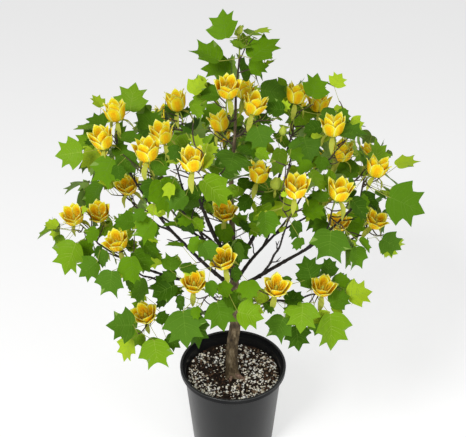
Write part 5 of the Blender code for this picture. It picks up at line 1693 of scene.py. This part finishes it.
def grain_share(x, y):
    """Perlite lies thick in some places and thin in others."""
    patch = noise.noise(Vector((x * 26, y * 26, 5.0)))
    bare = math.exp(-(((x + 0.040) / 0.028) ** 2 + ((y + 0.004) / 0.045) ** 2))
    return min(1.0, max(0.07, 0.62 + 1.4 * patch - 0.75 * bare + (0.2 if x > 0.02 else 0.0)))


def make_grains():
    pile = Pile()
    for solid, tone in scatter_mix(GRAINS, "perlite", (0.0019, 0.0041), (0.8, 1.3), grain_share):
        pile.add(solid, 0 if tone < 0.50 else 1 if tone < 0.92 else 2)
    return pile


def make_chips():
    pile = Pile()
    for solid, tone in scatter_mix(CHIPS, "bark chips", (0.0018, 0.0050), (0.5, 1.5), lambda x, y: 1.0):
        pile.add(solid, 0 if tone < 0.62 else 1 if tone < 0.94 else 2)
    return pile


# ---------------------------------------------------------------- materials
def nodes_of(material):
    return material.node_tree.nodes, material.node_tree.links


def new_material(name, colour, roughness, specular=0.5):
    material = bpy.data.materials.new(name)
    material.use_nodes = True
    shader = material.node_tree.nodes["Principled BSDF"]
    shader.inputs["Base Color"].default_value = (*colour, 1.0)
    shader.inputs["Roughness"].default_value = roughness
    shader.inputs["Specular IOR Level"].default_value = specular
    return material, shader


def noise_node(material, scale, detail, stretch=(1, 1, 1), rough=0.55):
    nodes, links = nodes_of(material)
    place = nodes.new("ShaderNodeTexCoord")
    mapping = nodes.new("ShaderNodeMapping")
    mapping.inputs["Scale"].default_value = stretch
    grain = nodes.new("ShaderNodeTexNoise")
    for name, value in (("Scale", scale), ("Detail", detail), ("Roughness", rough)):
        grain.inputs[name].default_value = value
    links.new(place.outputs["Object"], mapping.inputs["Vector"])
    links.new(mapping.outputs["Vector"], grain.inputs["Vector"])
    return grain


def add_bump(material, shader, source, strength, distance):
    nodes, links = nodes_of(material)
    bump = nodes.new("ShaderNodeBump")
    bump.inputs["Strength"].default_value = strength
    bump.inputs["Distance"].default_value = distance
    links.new(source, bump.inputs["Height"])
    links.new(bump.outputs["Normal"], shader.inputs["Normal"])
    return bump


def add_range(material, source, socket, low, high):
    nodes, links = nodes_of(material)
    change = nodes.new("ShaderNodeMapRange")
    for name, value in (("From Min", 0.3), ("From Max", 0.7), ("To Min", low), ("To Max", high)):
        change.inputs[name].default_value = value
    links.new(source, change.inputs["Value"])
    links.new(change.outputs["Result"], socket)


def add_ramp(material, source, socket, stops):
    """Colours along the pattern: stops are (place, colour)."""
    nodes, links = nodes_of(material)
    ramp = nodes.new("ShaderNodeValToRGB")
    while len(ramp.color_ramp.elements) < len(stops):
        ramp.color_ramp.elements.new(0.5)
    for element, (place, colour) in zip(ramp.color_ramp.elements, stops):
        element.position = place
        element.color = (*colour, 1.0)
    links.new(source, ramp.inputs["Fac"])
    links.new(ramp.outputs["Color"], socket)


def leaf_material(name, colour, roughness, glow=0.0, shine=0.06):
    """A leaf: its colour is plain, and a faint quilting in its bump and roughness gives it a skin."""
    material, shader = new_material(name, colour, roughness, shine)
    broad = noise_node(material, 65.0, 5.0)
    add_bump(material, shader, broad.outputs["Fac"], 0.6, 0.004)
    add_range(material, broad.outputs["Fac"], shader.inputs["Roughness"], roughness - 0.08, roughness + 0.10)
    if glow:
        shader.inputs["Subsurface Weight"].default_value = glow
        shader.inputs["Subsurface Radius"].default_value = (1.0, 0.9, 0.2)
        shader.inputs["Subsurface Scale"].default_value = 0.004
    return material


def bark_material(name, stops, scale, stretch, bump):
    material, shader = new_material(name, stops[0][1], 0.85, 0.3)
    grain = noise_node(material, scale, 8.0, stretch, 0.65)
    add_ramp(material, grain.outputs["Fac"], shader.inputs["Base Color"], stops)
    fine = noise_node(material, scale * 5, 6.0, stretch, 0.7)
    add_bump(material, shader, fine.outputs["Fac"], bump, 0.0008)
    add_range(material, grain.outputs["Fac"], shader.inputs["Roughness"], 0.70, 0.95)
    return material


def pot_material(name, specular, smooth, rough):
    material, shader = new_material(name, (0.03, 0.031, 0.034), smooth, specular)
    dust = noise_node(material, 14.0, 6.0, (1, 1, 0.5), 0.6)
    add_ramp(
        material, dust.outputs["Fac"], shader.inputs["Base Color"],
        ((0.30, (0.005, 0.0053, 0.006)), (0.55, (0.0085, 0.0087, 0.0093)), (0.80, (0.016, 0.016, 0.016))),
    )
    add_range(material, dust.outputs["Fac"], shader.inputs["Roughness"], smooth, rough)
    fine = noise_node(material, 1400.0, 2.0)
    add_bump(material, shader, fine.outputs["Fac"], 0.12, 0.0003)
    return material


def earth_material(name, low, high, scale):
    material, shader = new_material(name, low, 0.95, 0.2)
    grain = noise_node(material, scale, 6.0, rough=0.7)
    add_ramp(material, grain.outputs["Fac"], shader.inputs["Base Color"], ((0.35, low), (0.68, high)))
    fine = noise_node(material, scale * 4, 4.0)
    add_bump(material, shader, fine.outputs["Fac"], 0.6, 0.0010)
    return material


def leaf_materials():
    return [
        # leaf_deep is partly painted shade; leaf_light and leaf_young are partly painted light.
        leaf_material("leaf_deep", (0.038, 0.100, 0.003), 0.56),
        leaf_material("leaf_middle", (0.070, 0.165, 0.005), 0.56),
        leaf_material("leaf_cool", (0.064, 0.152, 0.008), 0.54),
        leaf_material("leaf_warm", (0.094, 0.205, 0.003), 0.56),
        leaf_material("leaf_light", (0.142, 0.272, 0.005), 0.50, shine=0.09),
        leaf_material("leaf_young", (0.305, 0.440, 0.014), 0.50, shine=0.09),
        leaf_material("leaf_underside", (0.170, 0.270, 0.050), 0.60),
        leaf_material("leaf_vein_dark", (0.110, 0.215, 0.020), 0.55),
        leaf_material("leaf_vein_pale", (0.240, 0.360, 0.040), 0.55),
    ]


def flower_materials():
    return [
        leaf_material("petal_green", (0.560, 0.520, 0.030), 0.60),
        leaf_material("petal_orange", (0.815, 0.415, 0.006), 0.60, 0.5),
        leaf_material("petal_gold", (0.815, 0.535, 0.010), 0.60, 0.5),
        leaf_material("petal_yellow", (0.810, 0.670, 0.022), 0.60, 0.5),
        leaf_material("petal_rim", (0.880, 0.850, 0.190), 0.60, 0.5),
        leaf_material("stamen_yellow", (0.880, 0.560, 0.030), 0.6, 0.5),
        leaf_material("heart_green", (0.500, 0.540, 0.070), 0.6),
        leaf_material("sepal_green", (0.350, 0.380, 0.050), 0.5, 0.1),
        leaf_material("bud_green", (0.420, 0.500, 0.060), 0.5, 0.1),
    ]


# ---------------------------------------------------------------- putting it together
def region_of(name):
    """Which of the crown's four joined pieces a spray belongs to."""
    return next((side for side in ("back", "left", "right") if side in name), "middle")


def make_crown(growths):
    leaf_look, flower_look = leaf_materials(), flower_materials()
    twig_bark = bark_material(
        "twig_bark", ((0.35, (0.030, 0.020, 0.014)), (0.65, (0.085, 0.060, 0.040))), 120.0, (1, 1, 1), 0.4
    )
    green_stem = leaf_material("green_stem", (0.260, 0.330, 0.050), 0.55)
    stalk_look = leaf_material("leaf_stalk", (0.280, 0.300, 0.055), 0.5)
    for region in ("back", "left", "middle", "right"):
        members = [growth for growth in growths if region_of(growth.name) == region]
        leaves, flowers, twigs, stalks = Pile(), Pile(), Pile(), Pile()
        for growth in members:
            draw = random.Random(growth.name + " finish")
            for leaf in growth.leaves:
                if leaf.tone is None:
                    leaf = leaf._replace(tone=leaf_tone(leaf, draw))
                leaves.add(*blade_solid(leaf))
                stalks.add(petiole_tube(leaf))
            for bloom, is_bud in growth.blooms:
                (add_bud if is_bud else add_flower)(flowers, bloom, draw)
            for number, (path, flowering) in enumerate(growth.twigs):
                root, tip = TWIG_RADII if number else STEM_RADII
                steps = len(path) - 1
                radii = [root + (tip - root) * i / steps for i in range(steps + 1)]
                solid = tube(path, radii, TWIG_SIDES)
                green = int(steps * (1 - GREEN_SHOOT)) * TWIG_SIDES if flowering else len(solid[1])
                twigs.add(solid, [0 if i < green else 1 for i in range(len(solid[1]))])
        nodes = [growth.name for growth in members]
        leaves.make("leaves_" + region, leaf_look, 60, "foliage", nodes)
        flowers.make("flowers_" + region, flower_look, 60, "petals", nodes)
        twigs.make("twigs_" + region, [twig_bark, green_stem], 60, "bough_bark", nodes)
        stalks.make("leaf_stalks_" + region, [stalk_look], 60, "foliage", nodes)


def make_wood(limbs, space):
    forks = []
    for bough in BOUGHS:
        if bough.parent == "trunk":
            start, _ = path_point(limbs["trunk"].path, bough.share)
            forks.append((start.z, bough.root_radius, outward_from_trunk(Vector(bough.tip) - start)))
    trunk_bark = bark_material(
        "trunk_bark",
        ((0.34, (0.026, 0.017, 0.009)), (0.46, (0.078, 0.055, 0.028)), (0.56, (0.155, 0.114, 0.062)),
         (0.70, (0.300, 0.245, 0.160))),
        85.0, (1.0, 1.0, 0.42), 0.9,
    )
    bough_bark = bark_material(
        "bough_bark",
        ((0.30, (0.008, 0.006, 0.005)), (0.55, (0.022, 0.016, 0.013)), (0.80, (0.070, 0.054, 0.042))),
        90.0, (1, 1, 1), 0.6,
    )
    root_bark = bark_material(
        "root_bark",
        ((0.34, (0.090, 0.050, 0.032)), (0.50, (0.240, 0.150, 0.105)), (0.68, (0.420, 0.300, 0.220))),
        120.0, (1.0, 1.0, 1.0), 0.7,
    )
    trunk = make_trunk(limbs["trunk"], forks)
    trunk.make("trunk_wood", [trunk_bark, root_bark], 60, "trunk_bark", ["trunk"])
    boughs = make_boughs(limbs)
    add_stubs(boughs, limbs, space)
    boughs.make("bough_wood", [bough_bark], 60, "bough_bark", [bough.name for bough in BOUGHS])


def make_pot_and_mix():
    plastics = [
        pot_material("black_plastic", 0.24, 0.28, 0.38),
        pot_material("lip_plastic", 0.07, 0.30, 0.40),
        pot_material("rim_plastic", 0.60, 0.20, 0.28),
    ]
    make_pot().make("pot_shell", plastics, 30, "pot_plastic", ["pot"])
    peat = earth_material("dark_peat", (0.005, 0.003, 0.002), (0.032, 0.019, 0.012), 160.0)
    make_mix().make("mix_bed", [peat], 60, "potting_mix", ["potting_mix"])
    chips = [
        earth_material("chip_black", (0.010, 0.007, 0.005), (0.045, 0.030, 0.022), 300.0),
        earth_material("chip_brown", (0.045, 0.022, 0.012), (0.130, 0.070, 0.040), 300.0),
        earth_material("chip_tan", (0.100, 0.060, 0.034), (0.240, 0.160, 0.100), 300.0),
    ]
    make_chips().make("mix_chips", chips, 40, "potting_mix", ["potting_mix"])
    grains = [
        earth_material("perlite_cream", (0.860, 0.770, 0.620), (0.970, 0.920, 0.800), 400.0),
        earth_material("perlite_white", (0.960, 0.930, 0.860), (0.990, 0.980, 0.940), 400.0),
        earth_material("perlite_tan", (0.300, 0.220, 0.140), (0.560, 0.440, 0.300), 400.0),
    ]
    make_grains().make("mix_perlite", grains, 50, "potting_mix", ["potting_mix"])


def make_stage():
    mesh = bpy.data.meshes.new("floor")
    corners = [(x * FLOOR_REACH, y * FLOOR_REACH, 0) for x, y in ((-1, -1), (1, -1), (1, 1), (-1, 1))]
    mesh.from_pydata(corners, [], [(0, 1, 2, 3)])
    floor = bpy.data.objects.new("floor", mesh)
    bpy.context.scene.collection.objects.link(floor)
    material, shader = new_material("floor_white", (FLOOR_WHITE,) * 3, 0.9, 0.0)
    shader.inputs["Emission Color"].default_value = (1, 1, 1, 1)
    shader.inputs["Emission Strength"].default_value = FLOOR_GLOW
    mesh.materials.append(material)
    floor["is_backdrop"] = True


def make_light(name, place, target, size, power):
    data = bpy.data.lights.new(name, "AREA")
    data.shape = "DISK"
    data.size = size
    data.energy = power
    light = bpy.data.objects.new(name, data)
    light.location = place
    light.rotation_mode = "QUATERNION"
    light.rotation_quaternion = (Vector(target) - Vector(place)).to_track_quat("-Z", "Y")
    bpy.context.scene.collection.objects.link(light)


def make_lights_and_camera():
    scene = bpy.context.scene
    world = bpy.data.worlds.new("studio")
    world.use_nodes = True
    world.node_tree.nodes["Background"].inputs["Color"].default_value = (1.0, 1.0, 1.0, 1.0)
    world.node_tree.nodes["Background"].inputs["Strength"].default_value = WORLD_LIGHT
    scene.world = world
    scene.view_settings.view_transform = "Standard"
    for lamp in LAMPS:
        make_light(*lamp)
    camera_data = bpy.data.cameras.new("camera")
    camera_data.sensor_width = 36.0
    camera_data.lens = 36.0 * FOCAL_PIXELS / PHOTO_WIDTH
    camera = bpy.data.objects.new("camera", camera_data)
    camera.location = CAMERA_PLACE
    camera.rotation_euler = (math.pi / 2 - CAMERA_PITCH, 0.0, 0.0)
    scene.collection.objects.link(camera)
    scene.camera = camera


make_stage()
make_lights_and_camera()
limbs = grow_limbs()
growths, space = grow_sprays(limbs)
make_wood(limbs, space)
make_crown(growths)
make_pot_and_mix()
shown_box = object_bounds()
boxes = {"cad": cad_box, "shown": shown_box}
{name: [list(corner) for corner in box] for name, box in boxes.items()}
